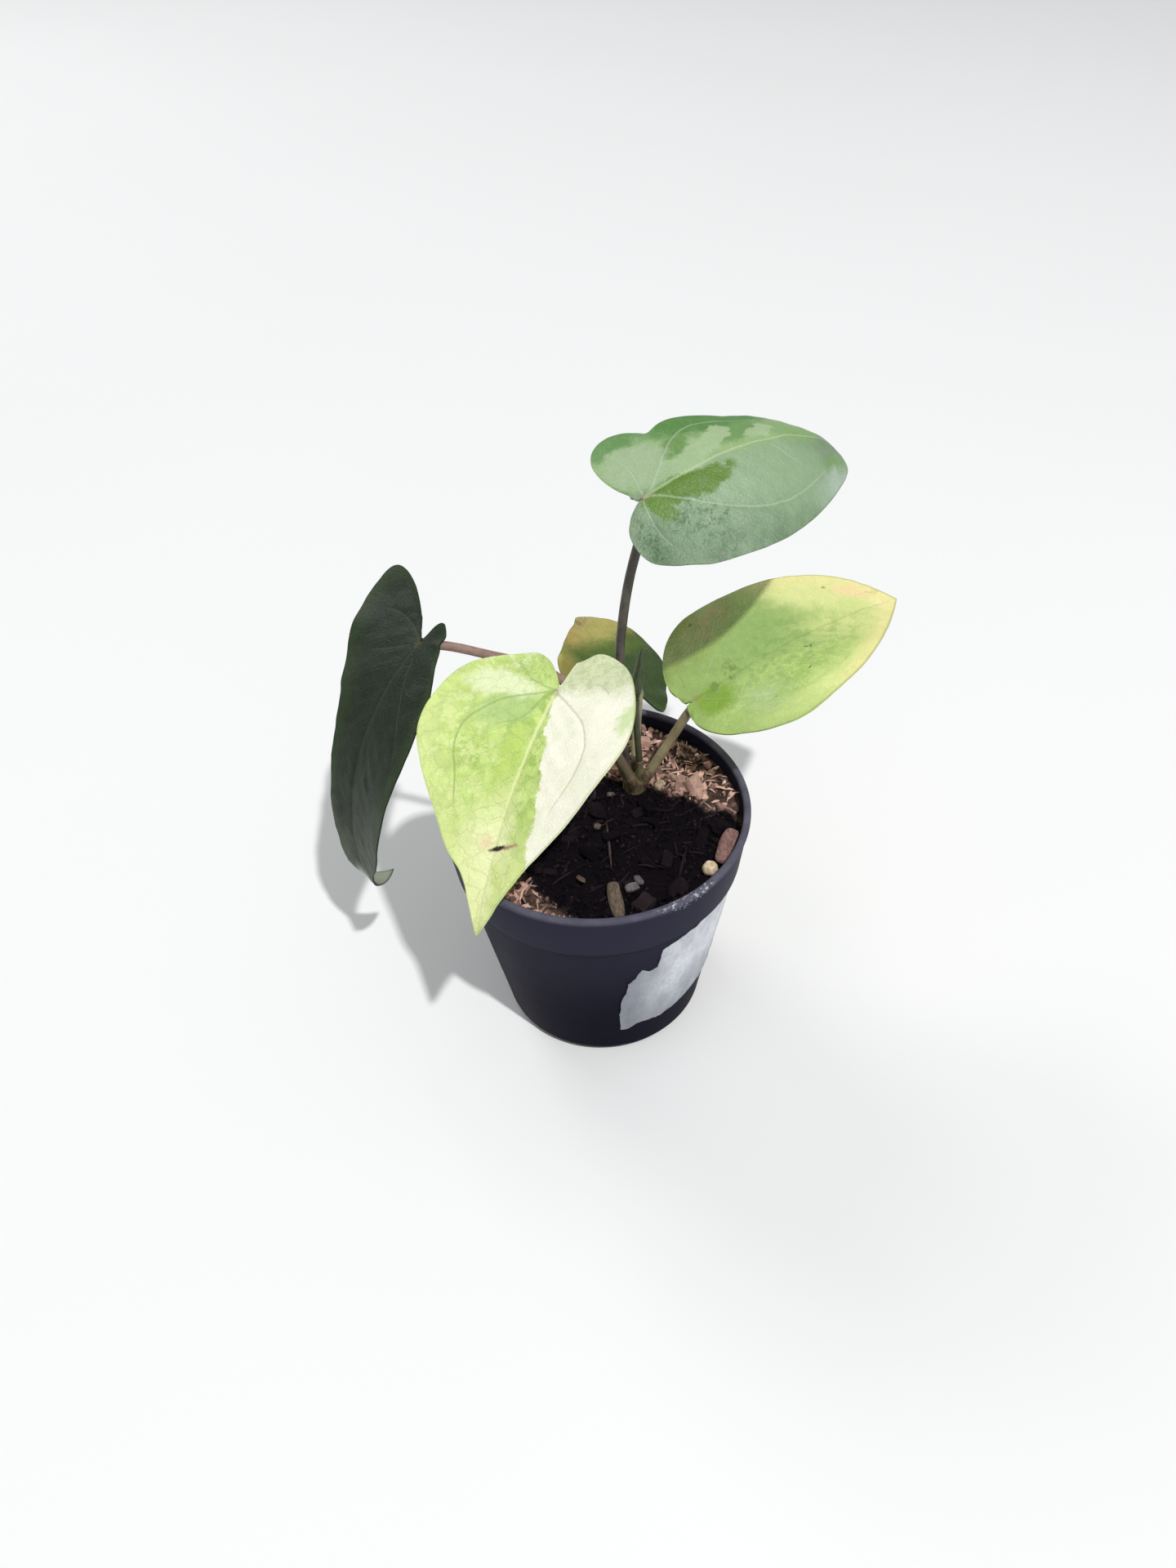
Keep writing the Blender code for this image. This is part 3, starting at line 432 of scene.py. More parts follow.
def srgb(red, green, blue):
    """A colour in 0 to 255 steps as the linear one that a shader takes."""
    def linear(step):
        value = step / 255
        return value / 12.92 if value <= 0.04045 else ((value + 0.055) / 1.055) ** 2.4
    return (linear(red), linear(green), linear(blue))


def scaled(colour, factor):
    return tuple(factor * c for c in colour)


# Materials

class Value:
    """A socket of a material, used in sums like a number."""

    def __init__(self, paint, socket):
        self.paint = paint
        self.socket = socket

    def __add__(self, other):
        return self.paint.maths("ADD", self, other)

    __radd__ = __add__

    def __sub__(self, other):
        return self.paint.maths("SUBTRACT", self, other)

    def __rsub__(self, other):
        return self.paint.maths("SUBTRACT", other, self)

    def __mul__(self, other):
        return self.paint.maths("MULTIPLY", self, other)

    def __truediv__(self, other):
        return self.paint.maths("DIVIDE", self, other)

    def __abs__(self):
        return self.paint.maths("ABSOLUTE", self)


class Paint:
    """A material under way, with short names for its nodes."""

    def __init__(self, name, roughness, **constants):
        self.material = bpy.data.materials.new(name)
        self.material.use_nodes = True
        self.tree = self.material.node_tree
        self.shader = self.tree.nodes["Principled BSDF"]
        self.shader.inputs["Roughness"].default_value = roughness
        for socket, value in constants.items():
            self.shader.inputs[socket.replace("_", " ")].default_value = value

    def node(self, kind, settings=None, sockets=None, output=0):
        """A new node with its settings and sockets, which are linked or take a number."""
        node = self.tree.nodes.new("ShaderNode" + kind)
        for name, value in (settings or {}).items():
            setattr(node, name, value)
        for name, value in (sockets or {}).items():
            if isinstance(value, Value):
                self.tree.links.new(value.socket, node.inputs[name])
            else:
                node.inputs[name].default_value = value
        return Value(self, node.outputs[output])

    def maths(self, operation, *terms):
        return self.node("Math", {"operation": operation}, dict(enumerate(terms)))

    def mix(self, factor, first, second):
        """From the first colour to the second as the factor goes from 0 to 1."""
        ends = [(*end, 1.0) if isinstance(end, tuple) else end for end in (first, second)]
        return self.node("Mix", {"data_type": "RGBA"}, {0: factor, 6: ends[0], 7: ends[1]}, 2)

    def smooth(self, value, low, high):
        """From 0 to 1 as the value goes from low to high, with soft ends."""
        return self.node("MapRange", {"interpolation_type": "SMOOTHSTEP"},
                         {"Value": value, "From Min": low, "From Max": high})

    def cloudy(self, clouds, colour, dark, pale, low=0.3, high=0.7):
        """A colour that the clouds make darker in places and paler in others."""
        return self.mix(self.smooth(clouds, low, high), scaled(colour, dark),
                        scaled(colour, pale))

    def noise(self, place, size, detail, rough, output=0):
        """Smooth noise whose features are about the given size."""
        return self.node("TexNoise", None, {"Vector": place, "Scale": 1 / size,
                                            "Detail": detail, "Roughness": rough}, output)

    def cells(self, place, size, feature="DISTANCE_TO_EDGE"):
        """Distance to the nearest edge, or middle, of cells of about the given size."""
        return self.node("TexVoronoi", {"feature": feature},
                         {"Vector": place, "Scale": 1 / size})

    def vectors(self, operation, *terms):
        return self.node("VectorMath", {"operation": operation}, dict(enumerate(terms)))

    def stretch(self, place, *factors):
        """Coordinates for a pattern that is drawn out where a factor is small."""
        return self.vectors("MULTIPLY", place, factors)

    def wander(self, place, size, detail, rough):
        """A smooth shift in every direction, as a vector round zero."""
        return self.vectors("SUBTRACT", self.noise(place, size, detail, rough, 1), (0.5,) * 3)

    def moved(self, place, shift, length):
        """Coordinates moved along a shift times a length."""
        return self.vectors("ADD", place, self.shade(shift, length))

    def split(self, vector):
        node = self.tree.nodes.new("ShaderNodeSeparateXYZ")
        self.tree.links.new(vector.socket, node.inputs[0])
        return [Value(self, socket) for socket in node.outputs]

    def shade(self, colour, factor):
        """A colour made darker or lighter by a factor that varies over the surface."""
        return self.node("VectorMath", {"operation": "SCALE"}, {0: colour, 3: factor})

    def spot(self, place, middle, half_size, turn, soft):
        """1 inside an oval and 0 outside it, with a soft edge."""
        inside = self.node("Mapping", {"vector_type": "TEXTURE"},
                           {"Vector": place, "Location": middle,
                            "Rotation": (0, 0, math.radians(turn)), "Scale": half_size})
        distance = self.node("VectorMath", {"operation": "LENGTH"}, {0: inside}, 1)
        return self.smooth(distance, 1 + soft, 1 - soft)

    def curve(self, fit, along):
        """A polynomial of a value, highest power first."""
        total = float(fit[0])
        for factor in fit[1:]:
            total = self.maths("MULTIPLY_ADD", total, along, float(factor))
        return total

    def bump(self, height, distance, strength):
        """The surface's direction with a fine relief laid over it."""
        return self.node("Bump", None, {"Height": height, "Distance": distance,
                                        "Strength": strength})

    def finish(self, colour, roughness=None, normal=None):
        """Links what varies over the surface to the shader and hands over the material."""
        for socket, value in (("Base Color", colour), ("Roughness", roughness),
                              ("Normal", normal)):
            if isinstance(value, Value):
                self.tree.links.new(value.socket, self.shader.inputs[socket])
        return self.material

    def object_place(self):
        return self.node("TexCoord", output="Object")

    def tint(self):
        """The value kept for each vertex of a heap's bits, or of the rolled leaf."""
        return self.node("Attribute", {"attribute_name": "tint"}, output="Fac")


def vein_fit(vein):
    """The polynomial nearest to a vein's points, and where along it starts and ends."""
    points = numpy.array(vein.points, dtype=float)
    along, across = (0, 1) if vein.along == "x" else (1, 0)
    degree = min(6, len(points) // 2 + 1, len(points) - 1)
    fit = numpy.polyfit(points[:, along], points[:, across], degree)
    return fit, float(points[0, along]), float(points[-1, along])


class LeafPaint(Paint):
    """One face of a leaf, painted on its flat frame in mm."""

    def __init__(self, leaf, face, roughness):
        super().__init__(leaf.name + face, roughness, Specular_IOR_Level=LOOKS[leaf.name].sheen)
        self.leaf = leaf
        self.flat = self.node("Attribute", {"attribute_name": "flat"}, None, "Vector")
        broad = self.wander(self.flat, 5.0, 3, 0.6)
        fine = self.wander(self.flat, 1.1, 3, 0.7)
        self.gentle = self.moved(self.flat, broad, 0.9)
        self.ragged = self.moved(self.moved(self.flat, broad, 7.0), fine, 2.4)
        self.x, self.y, _ = self.split(self.gentle)
        self.share = self.split(self.flat)[2]
        self.fleck = self.smooth(self.noise(self.flat, 1.6, 5, 0.75), 0.46, 0.6)
        self.patch = self.smooth(self.noise(self.flat, 4.2, 5, 0.65), 0.49, 0.56)

    def oval(self, place, x, y, half_x, half_y, turn, soft):
        """1 inside an oval of the flat leaf, whatever its third coordinate, and 0 outside."""
        return self.spot(place, (x, y, 0), (half_x, half_y, 1e4), turn, soft)

    def area(self, colour, x, y, half_x, half_y, turn, soft, kind, strength, tone):
        """The colour with one row of AREAS laid over it."""
        mask = self.oval(self.ragged, x, y, half_x, half_y, turn, soft) * strength
        if kind:
            mask = mask * (self.fleck if kind == 1 else self.patch)
        return self.mix(mask, colour, srgb(*tone))

    def vein(self, vein):
        """1 on a vein and 0 beside it, thinner and fainter towards its end."""
        fit, first, last = vein_fit(vein)
        along, across = (self.x, self.y) if vein.along == "x" else (self.y, self.x)
        lean = self.curve(numpy.polyder(fit), along)
        away = abs(across - self.curve(fit, along)) / self.maths("SQRT", lean * lean + 1)
        place = (along - first) / (last - first)
        wide = place * (vein.wide[1] - vein.wide[0]) + vein.wide[0]
        line = self.smooth(away / wide, 1.3, 0.3)
        return line * self.smooth(place, -0.01, 0.03) * self.smooth(place, 1.02, 0.75)

    def midrib(self, start, end):
        """1 on the midrib and 0 beside it, from one width at the joint to another at the tip."""
        place = self.x / self.leaf.left[0]
        wide = place * (end - start) + start
        line = self.smooth(abs(self.y) / wide, 1.2, 0.4)
        return line * self.smooth(self.x, -0.2, 0.3) * self.smooth(place, 1.0, 0.85)

    def laterals(self):
        """Faint side veins that leave the midrib at regular steps on both sides."""
        sway = self.noise(self.flat, 14.0, 1, 0.5) * 5.0
        place = (self.x - abs(self.y) * SIDE_VEIN_LEAN + sway) / SIDE_VEIN_STEP
        away = abs(self.maths("FRACT", place) - 0.5)
        line = self.smooth(away, 0.075, 0.0)
        return line * self.smooth(self.share, 0.92, 0.6) * self.smooth(self.x, 2.0, 8.0)

    def net(self):
        """The fine net of veins between the side veins."""
        bent = self.moved(self.gentle, self.wander(self.flat, 2.6, 2, 0.6), 3.0)
        return self.smooth(self.cells(bent, 4.4), 0.085, 0.0)


# Shapes

def choose(item):
    """Makes one piece the only selected and the active one."""
    bpy.ops.object.select_all(action="DESELECT")
    item.select_set(True)
    bpy.context.view_layer.objects.active = item


def new_item(name, points, edges, faces):
    mesh = bpy.data.meshes.new(name)
    mesh.from_pydata(points, edges, faces)
    item = bpy.data.objects.new(name, mesh)
    bpy.context.scene.collection.objects.link(item)
    choose(item)
    return item


def modify(item, kind, **settings):
    """Adds one modifier, sets it and applies it."""
    bpy.context.view_layer.objects.active = item
    bpy.ops.object.modifier_add(type=kind)
    change = item.modifiers[-1]
    for name, value in settings.items():
        setattr(change, name, value)
    bpy.ops.object.modifier_apply(modifier=change.name)


def edit(item, *steps):
    """Runs edit mode steps on all of a piece's mesh."""
    choose(item)
    bpy.ops.object.mode_set(mode="EDIT")
    bpy.ops.mesh.select_all(action="SELECT")
    for step in steps:
        step()
    bpy.ops.object.mode_set(mode="OBJECT")


def weld(distance):
    return lambda: bpy.ops.mesh.remove_doubles(threshold=distance)


def outward():
    bpy.ops.mesh.normals_make_consistent(inside=False)


def smooth_faces(item, degrees):
    """Smooth shading, with an edge kept wherever faces turn by more than the angle."""
    choose(item)
    bpy.ops.object.shade_smooth_by_angle(angle=math.radians(degrees))
    return item


def mark(item, name, kind, field, values):
    """Keeps a value for each vertex, which the piece's material reads."""
    item.data.attributes.new(name, kind, "POINT").data.foreach_set(field, values)


def places_of(item):
    places = numpy.empty(len(item.data.vertices) * 3)
    item.data.vertices.foreach_get("co", places)
    return places.reshape(-1, 3)


def put_places(item, places):
    item.data.vertices.foreach_set("co", numpy.ascontiguousarray(places, dtype=float).ravel())
    item.data.update()


def dress(item, node, *paints):
    """Gives a piece its materials, hangs it under the root body and hides the solid it stands for.
    """
    item.data.materials.clear()
    for paint in paints:
        item.data.materials.append(paint)
    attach(item, "root")
    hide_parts(node)


def smooth_route(points, count):
    """Evenly numbered points on a smooth curve through the given ones."""
    ends = [points[0] * 2 - points[1], *points, points[-1] * 2 - points[-2]]
    spans = len(points) - 1
    route = []
    for number in range(count):
        place = spans * number / (count - 1)
        span = min(int(place), spans - 1)
        t = place - span
        a, b, c, d = ends[span:span + 4]
        route.append(0.5 * (2 * b + (c - a) * t + (2 * a - 5 * b + 4 * c - d) * t ** 2
                            + (3 * b - a - 3 * c + d) * t ** 3))
    return route


def tube(name, route, radii, sides):
    """A round stalk along a route, as a mesh."""
    curve = bpy.data.curves.new(name, "CURVE")
    curve.dimensions = "3D"
    curve.bevel_depth = 1.0
    curve.bevel_resolution = sides
    curve.use_fill_caps = True
    spline = curve.splines.new("POLY")
    spline.points.add(len(route) - 1)
    for point, place, radius in zip(spline.points, route, radii):
        point.co = (*place, 1.0)
        point.radius = radius
    item = bpy.data.objects.new(name, curve)
    bpy.context.scene.collection.objects.link(item)
    choose(item)
    bpy.ops.object.convert(target="MESH")
    item = bpy.context.active_object
    edit(item, weld(0.000002), outward)
    return item


def turned(name, profile, steps):
    """A solid turned about Z from a profile of (radius, height) that ends on the axis."""
    points = [(radius, 0.0, height) for radius, height in profile]
    item = new_item(name, points, [(i, i + 1) for i in range(len(points) - 1)], [])
    modify(item, "SCREW", axis="Z", angle=math.tau, steps=steps, render_steps=steps,
           use_merge_vertices=True, merge_threshold=0.00001, use_smooth_shade=True)
    edit(item, weld(0.000005), outward)
    return item


# Pot

def wall_radius(height):
    """Outer radius of the plain wall below the band."""
    share = (height - CORNER) / (SHELF - CORNER)
    return WALL_FOOT_RADIUS + (WALL_TOP_RADIUS - WALL_FOOT_RADIUS) * share


def pot_profile():
    """From the floor's centre up the inside, over the lip and down to the underside."""
    lip_middle = (LIP_RADIUS - LIP_BEAD, POT_HEIGHT - LIP_BEAD)
    lip = [(lip_middle[0] - LIP_BEAD * math.cos(math.radians(turn)),
            lip_middle[1] + LIP_BEAD * math.sin(math.radians(turn)))
           for turn in range(-10, 226, 15)]
    corner = [(WALL_FOOT_RADIUS - CORNER * (1 - math.cos(math.radians(turn))),
               CORNER * (1 - math.sin(math.radians(turn))))
              for turn in range(0, 91, 10)]
    return [
        (0.0, FLOOR),
        (WALL_FOOT_RADIUS - CORNER - WALL / 2, FLOOR),
        (wall_radius(CORNER) - WALL, CORNER + FLOOR / 2),
        (wall_radius(SHELF) - WALL, SHELF - WALL),
        (BAND_FOOT_RADIUS - WALL, SHELF + WALL / 2),
        (BAND_TOP_RADIUS - WALL + 0.2 * MM, POT_HEIGHT - 2.2 * LIP_BEAD),
        *lip,
        (BAND_TOP_RADIUS, POT_HEIGHT - 2.4 * LIP_BEAD),
        (BAND_TOP_RADIUS - 0.05 * MM, POT_HEIGHT - 3.0 * LIP_BEAD),
        (BAND_FOOT_RADIUS, SHELF + 1.0 * MM),
        (BAND_FOOT_RADIUS - 0.12 * MM, SHELF + 0.4 * MM),
        (BAND_FOOT_RADIUS - 0.5 * MM, SHELF),
        (WALL_TOP_RADIUS + 0.3 * MM, SHELF - 0.1 * MM),
        (WALL_TOP_RADIUS + 0.05 * MM, SHELF - 0.5 * MM),
        (WALL_TOP_RADIUS - 0.1 * MM, SHELF - 1.4 * MM),
        *corner,
        (0.0, 0.0),
    ]


def drain_cutter():
    """Round holes through the floor, each with a shallow channel to the pot's edge."""
    parts = []
    length = LIP_RADIUS - DRAIN_CIRCLE
    for number in range(DRAIN_COUNT):
        turn = math.tau * number / DRAIN_COUNT
        way = Vector((math.cos(turn), math.sin(turn), 0))
        bpy.ops.mesh.primitive_cylinder_add(vertices=32, radius=DRAIN_RADIUS, depth=4 * FLOOR,
                                            location=way * DRAIN_CIRCLE)
        parts.append(bpy.context.active_object)
        bpy.ops.mesh.primitive_cube_add(size=1, location=way * (DRAIN_CIRCLE + length / 2),
                                        rotation=(0, 0, turn),
                                        scale=(length, CHANNEL_WIDTH, 2 * CHANNEL_DEPTH))
        parts.append(bpy.context.active_object)
    return parts


def paint_pot(colour):
    """Matt charcoal plastic, a little dusty, paler at the lip with a few pale scuffs, and painted
    lighter towards the top as painted light.
    """
    paint = Paint("pot_plastic", 0.5, Specular_IOR_Level=0.03)
    place = paint.object_place()
    z = paint.split(place)[2]
    cloud = paint.noise(place, 0.02, 4, 0.6)
    streaks = paint.noise(paint.stretch(place, 1.0, 1.0, 0.12), 0.0022, 3, 0.6)
    grain = paint.noise(place, 0.0007, 3, 0.6)
    tone = paint.cloudy(cloud, colour, 0.86, 1.16)
    dust = paint.smooth(streaks, 0.52, 0.75) * 0.02
    tone = paint.mix(dust, tone, srgb(62, 62, 80))
    # Painted light: the wall is painted lighter towards the top and on the band, as if lit from
    # above.
    band = paint.smooth(z, SHELF - 1 * MM, SHELF + 2 * MM)
    rise = paint.smooth(z, 0.016, SHELF)
    tone = paint.mix(rise * 0.34 + band * 0.2, tone, srgb(60, 59, 78))
    # Paler towards the lip, a little mottled.
    pale_lip = (paint.smooth(z, POT_HEIGHT - 2.2 * MM, POT_HEIGHT - 0.2 * MM)
            * (paint.smooth(paint.noise(place, 0.006, 3, 0.6), 0.3, 0.75) * 0.4 + 0.6))
    tone = paint.mix(pale_lip * 0.8, tone, srgb(112, 110, 126))
    near = paint.spot(place, (0.024, -0.0375, POT_HEIGHT), (0.016, 0.008, 0.0035), -32, 0.4)
    scuff = near * paint.smooth(paint.noise(place, 0.0011, 5, 0.75), 0.53, 0.62)
    tone = paint.mix(scuff * 0.85, tone, srgb(206, 206, 212))
    rough = cloud * 0.16 + 0.4 + scuff * 0.3
    normal = paint.bump(grain + streaks * 0.7, 0.00006, 0.5)
    return paint.finish(tone, rough, normal)


# Label

def label_wrinkle(angle, height):
    """How far the sticker stands off the wall at a place, in mm: creases and a lifted edge."""
    place = Vector((angle * 0.55, height * 0.9, 0)) / 9
    crease = 1 - abs(noise.noise(place)) * 3.2
    fine = noise.noise(Vector((angle * 0.7, height, 5)) / 3.4)
    lift = 0.55 * max(0.0, crease) ** 3 * 0.45 + 0.09 * fine
    torn = max(0.0, 1 - (angle + 84) / 10)
    return 0.12 + max(0.0, lift) + 0.5 * torn ** 2 * (0.6 + 0.4 * math.sin(height * 0.5))


def paint_label(colour):
    """Dull grey-white paper, creased and painted darker along the creases as painted shade, with
    worn fibres along its torn edges.
    """
    paint = Paint("label_paper", 0.5)
    place = paint.object_place()
    x, y, z = paint.split(place)
    angle = paint.maths("ARCTAN2", y, x)
    cloud = paint.noise(place, 0.009, 4, 0.6)
    fibres = paint.noise(paint.stretch(place, 1, 1, 0.4), 0.0006, 4, 0.7)
    folds = abs(paint.noise(place, 0.006, 2, 0.5) - 0.5)
    tone = paint.cloudy(cloud, colour, 0.88, 1.0)
    torn = paint.smooth(angle, math.radians(-54), math.radians(-80))
    low = paint.smooth(z, 0.044, 0.014)
    tone = paint.mix(paint.maths("MAXIMUM", torn, low * 0.8) * 0.9, tone, srgb(118, 124, 134))
    wash = paint.noise(paint.stretch(place, 1.0, 1.0, 0.35), 0.007, 3, 0.6)
    tone = paint.shade(tone, paint.smooth(wash, 0.35, 0.65) * 0.28 + 0.86)
    # Painted shade: the paper is painted darker along the creases.
    tone = paint.mix(paint.smooth(folds, 0.02, 0.0) * 0.3, tone, srgb(132, 138, 146))
    rub = paint.smooth(fibres, 0.56, 0.72) * paint.smooth(cloud, 0.45, 0.65)
    tone = paint.mix(rub * 0.45, tone, srgb(226, 228, 232))
    rough = 0.42 + cloud * 0.2
    normal = paint.bump(fibres + paint.smooth(folds, 0.04, 0.0) * 1.5, 0.00008, 0.6)
    return paint.finish(tone, rough, normal)


# Soil

def soil_height(x, y):
    """Height of the ground at a place, bumpy and a little lower towards the wall."""
    distance = math.hypot(x, y)
    edge = BAND_TOP_RADIUS - WALL
    near_crown = math.exp(-((x - CROWN.x) ** 2 + (y - CROWN.y) ** 2) / (7 * MM) ** 2)
    bump = 0.6 * noise.noise(Vector((x, y, 0)) / (9 * MM)) + 0.4 * noise.noise(
        Vector((x, y, 3 * MM)) / (4 * MM))
    return (SOIL_HEIGHT - SOIL_EDGE_DROP * (distance / edge) ** 4
            + SOIL_BUMP * bump * (1 - near_crown))


def crumbly(x, y):
    """Small lumps on top of the ground's larger shape."""
    lumps = noise.noise(Vector((x, y, 0)) / (1.9 * MM)) * 0.55
    grit = noise.noise(Vector((x, y, 1 * MM)) / (0.9 * MM)) * 0.3
    return (lumps + grit) * MM


def random_place(draw, edge):
    """A place inside the circle with that radius, all parts of it alike."""
    radius = edge * math.sqrt(draw.random())
    angle = draw.uniform(0, math.tau)
    return Vector((radius * math.cos(angle), radius * math.sin(angle), 0))


def chip_places(draw, count, clear):
    """Seeded places on the soil, spread out and clear of the crown and the wall."""
    places = []
    while len(places) < count:
        place = random_place(draw, BAND_FOOT_RADIUS - WALL - clear)
        near_crown = (place - CROWN).length < CROWN_RADIUS + clear
        crowded = any((place - other).length < CHIP_SPACING for other in places)
        if not near_crown and not crowded:
            places.append(place)
    return places


def uneven(place):
    """A vector of three smooth noises that shifts a corner out of true."""
    shifts = (Vector((0, 0, 0)), Vector((9.2, 3.1, 7.7)), Vector((2.5, 8.4, 5.3)))
    return Vector([noise.noise(place + shift) for shift in shifts])


def taken_apart(item):
    """A primitive's points and faces, and the primitive gone."""
    points = [vertex.co.copy() for vertex in item.data.vertices]
    faces = [tuple(face.vertices) for face in item.data.polygons]
    bpy.data.objects.remove(item, do_unlink=True)
    return points, faces


def block_shape():
    """A bark chip: a block with softened edges."""
    bpy.ops.mesh.primitive_cube_add(size=1)
    item = bpy.context.active_object
    edit(item, lambda: bpy.ops.mesh.subdivide(number_cuts=2, smoothness=0.25))
    return taken_apart(item)


def crumb_shape():
    """A crumb: a ball with few faces."""
    bpy.ops.mesh.primitive_ico_sphere_add(subdivisions=1, radius=0.5)
    return taken_apart(bpy.context.active_object)


def fibre_shape():
    """A thin splinter with pointed ends, along X."""
    bpy.ops.mesh.primitive_cylinder_add(vertices=5, radius=0.5, depth=1,
                                        rotation=(0, math.pi / 2, 0))
    item = bpy.context.active_object
    bpy.ops.object.transform_apply(location=False, rotation=True, scale=False)
    edit(item, lambda: bpy.ops.mesh.subdivide(number_cuts=5))
    points, faces = taken_apart(item)
    for point in points:
        taper = 1 - (2 * abs(point.x)) ** 3 * 0.8
        point.y *= taper
        point.z *= taper
    return points, faces


class Heap:
    """Many small bits gathered in one mesh, each with a tint of its own."""

    def __init__(self):
        self.points = []
        self.faces = []
        self.tints = []

    def add(self, shape, place, size, turn, tint, bend=0.0, warp=0.12, grain=2 * MM):
        """One more bit: bent along X, scaled, turned, set down and made uneven."""
        start = len(self.points)
        spin = turn.to_matrix()
        for point in shape[0]:
            bent = Vector((point.x, point.y, point.z + bend * (1 - 4 * point.x ** 2)))
            spot = place + spin @ Vector((bent.x * size.x, bent.y * size.y, bent.z * size.z))
            self.points.append(spot + warp * min(size) * uneven(spot / grain))
            self.tints.append(tint)
        self.faces += [tuple(start + corner for corner in face) for face in shape[1]]

    def gather(self, name):
        item = new_item(name, self.points, [], self.faces)
        mark(item, "tint", "FLOAT", "value", self.tints)
        return item


def past_shade(x, y):
    """How far a place lies past each of the two edges of the soil's painted shade band, in m."""
    return ((x - 0.015) * 0.47 + (y - 0.0082) * 0.88,
            (x + 0.0146) * -0.8 - (y + 0.031) * 0.6)


def coarse_patch(x, y):
    """How far a place lies in the two patches of coarse bark that are painted as sunlit, from 0 to
    1.
    """
    return max(min(1.0, max(0.0, side / (3 * MM))) for side in past_shade(x, y))


def paint_soil(dark, bark, name, loose):
    """Dark mix under painted shade, with reddish bark painted as sunlit in two patches behind the
    crown and at the front left.
    """
    paint = Paint(name, 0.9, Specular_IOR_Level=0.12)
    place = paint.object_place()
    x, y, _ = paint.split(place)
    sway = (paint.noise(place, 0.008, 3, 0.6) - 0.5) * 0.012
    behind, before = past_shade(x, y)
    # Painted light and shade: the two patches are painted as lying in sunlight and the rest of the
    # soil as lying in shade.
    sunlit_patch = paint.maths("MAXIMUM", paint.smooth(behind + sway, 0.0, 0.004),
                      paint.smooth(before + sway, -0.001, 0.003))
    grain = paint.noise(place, 0.0012, 5, 0.7)
    mottle = paint.noise(place, 0.004, 3, 0.6)
    if loose:
        tint = paint.tint()
        lift = tint * 0.75 + mottle * 0.3
    else:
        lift = mottle * 0.7
    # The shade band's colour: the dark mix with painted shade.
    shaded_dark_mix = paint.mix(paint.smooth(lift, 0.4, 1.1), scaled(dark, 0.6),
                     srgb(56, 44, 48))
    # In the sunlit patches the ground between the bits is painted darker than the bits, as painted
    # shade in the gaps.
    low, high = (0.11, 0.95) if loose else (0.05, 0.4)
    sunlit_tone = paint.cloudy(lift, bark, low, high, 0.2, 0.85)
    # Painted highlights on the brightest loose bits.
    if loose:
        sunlit_tone = paint.mix(paint.smooth(lift, 0.8, 1.0) * 0.8, sunlit_tone, srgb(255, 230, 214))
    tone = paint.mix(sunlit_patch, shaded_dark_mix, sunlit_tone)
    tone = paint.shade(tone, grain * 1.1 + 0.45)
    streak = paint.noise(paint.stretch(place, 1.0, 1.0, 3.0), 0.0008, 4, 0.7)
    normal = paint.bump(grain + streak * 0.6, 0.0004, 0.8)
    return paint.finish(tone, 0.95 - sunlit_patch * 0.05 - grain * 0.25, normal)


# Leaves

def reach_curve(reaches, turn):
    """Reach of the outline at each angle, smooth between the measured ones."""
    knots = numpy.array((*OUTLINE_ANGLES, 180.0))
    values = numpy.array((*reaches, reaches[-1] * 0.8))
    count = len(knots)
    low = numpy.maximum(numpy.arange(count) - 1, 0)
    high = numpy.minimum(numpy.arange(count) + 1, count - 1)
    slopes = (values[high] - values[low]) / (knots[high] - knots[low])
    span = numpy.clip(numpy.searchsorted(knots, turn, side="right") - 1, 0, count - 2)
    width = knots[span + 1] - knots[span]
    t = (turn - knots[span]) / width
    return ((1 + 2 * t) * (1 - t) ** 2 * values[span] + t * (1 - t) ** 2 * width * slopes[span]
            + t * t * (3 - 2 * t) * values[span + 1] - t * t * (1 - t) * width * slopes[span + 1])


def midrib_slope(leaf, distance):
    """How steeply the midrib goes down at distances from the joint, in radians."""
    ahead = (leaf.bend * distance + leaf.droop * distance ** 2 / 2
             + leaf.curl * numpy.maximum(0.0, distance - (leaf.left[0] - TIP_CURL_LENGTH)))
    return numpy.radians(numpy.where(distance < 0, leaf.back * distance, ahead))


def midrib_points(leaf, distance):
    """Places (x, z) on the bent midrib and its slope there, at distances from the joint."""
    step = 0.05
    grid = numpy.arange(-LONGEST_LOBE, LONGEST_BLADE + step, step)
    turns = midrib_slope(leaf, grid + step / 2)
    start = numpy.searchsorted(grid, -step / 2)
    xs = numpy.concatenate(([0.0], numpy.cumsum(numpy.cos(turns) * step)))[:-1]
    zs = numpy.concatenate(([0.0], numpy.cumsum(-numpy.sin(turns) * step)))[:-1]
    xs -= xs[start]
    zs -= zs[start]
    return (numpy.interp(distance, grid, xs), numpy.interp(distance, grid, zs),
            midrib_slope(leaf, distance))


def leaf_frame(leaf):
    """Matrix that turns the leaf's own frame and sets it at its joint, in mm."""
    turn = (Matrix.Rotation(math.radians(leaf.yaw), 4, "Z")
            @ Matrix.Rotation(-math.radians(leaf.rise), 4, "Y")
            @ Matrix.Rotation(math.radians(leaf.roll), 4, "X"))
    return Matrix.Translation(leaf.joint) @ turn


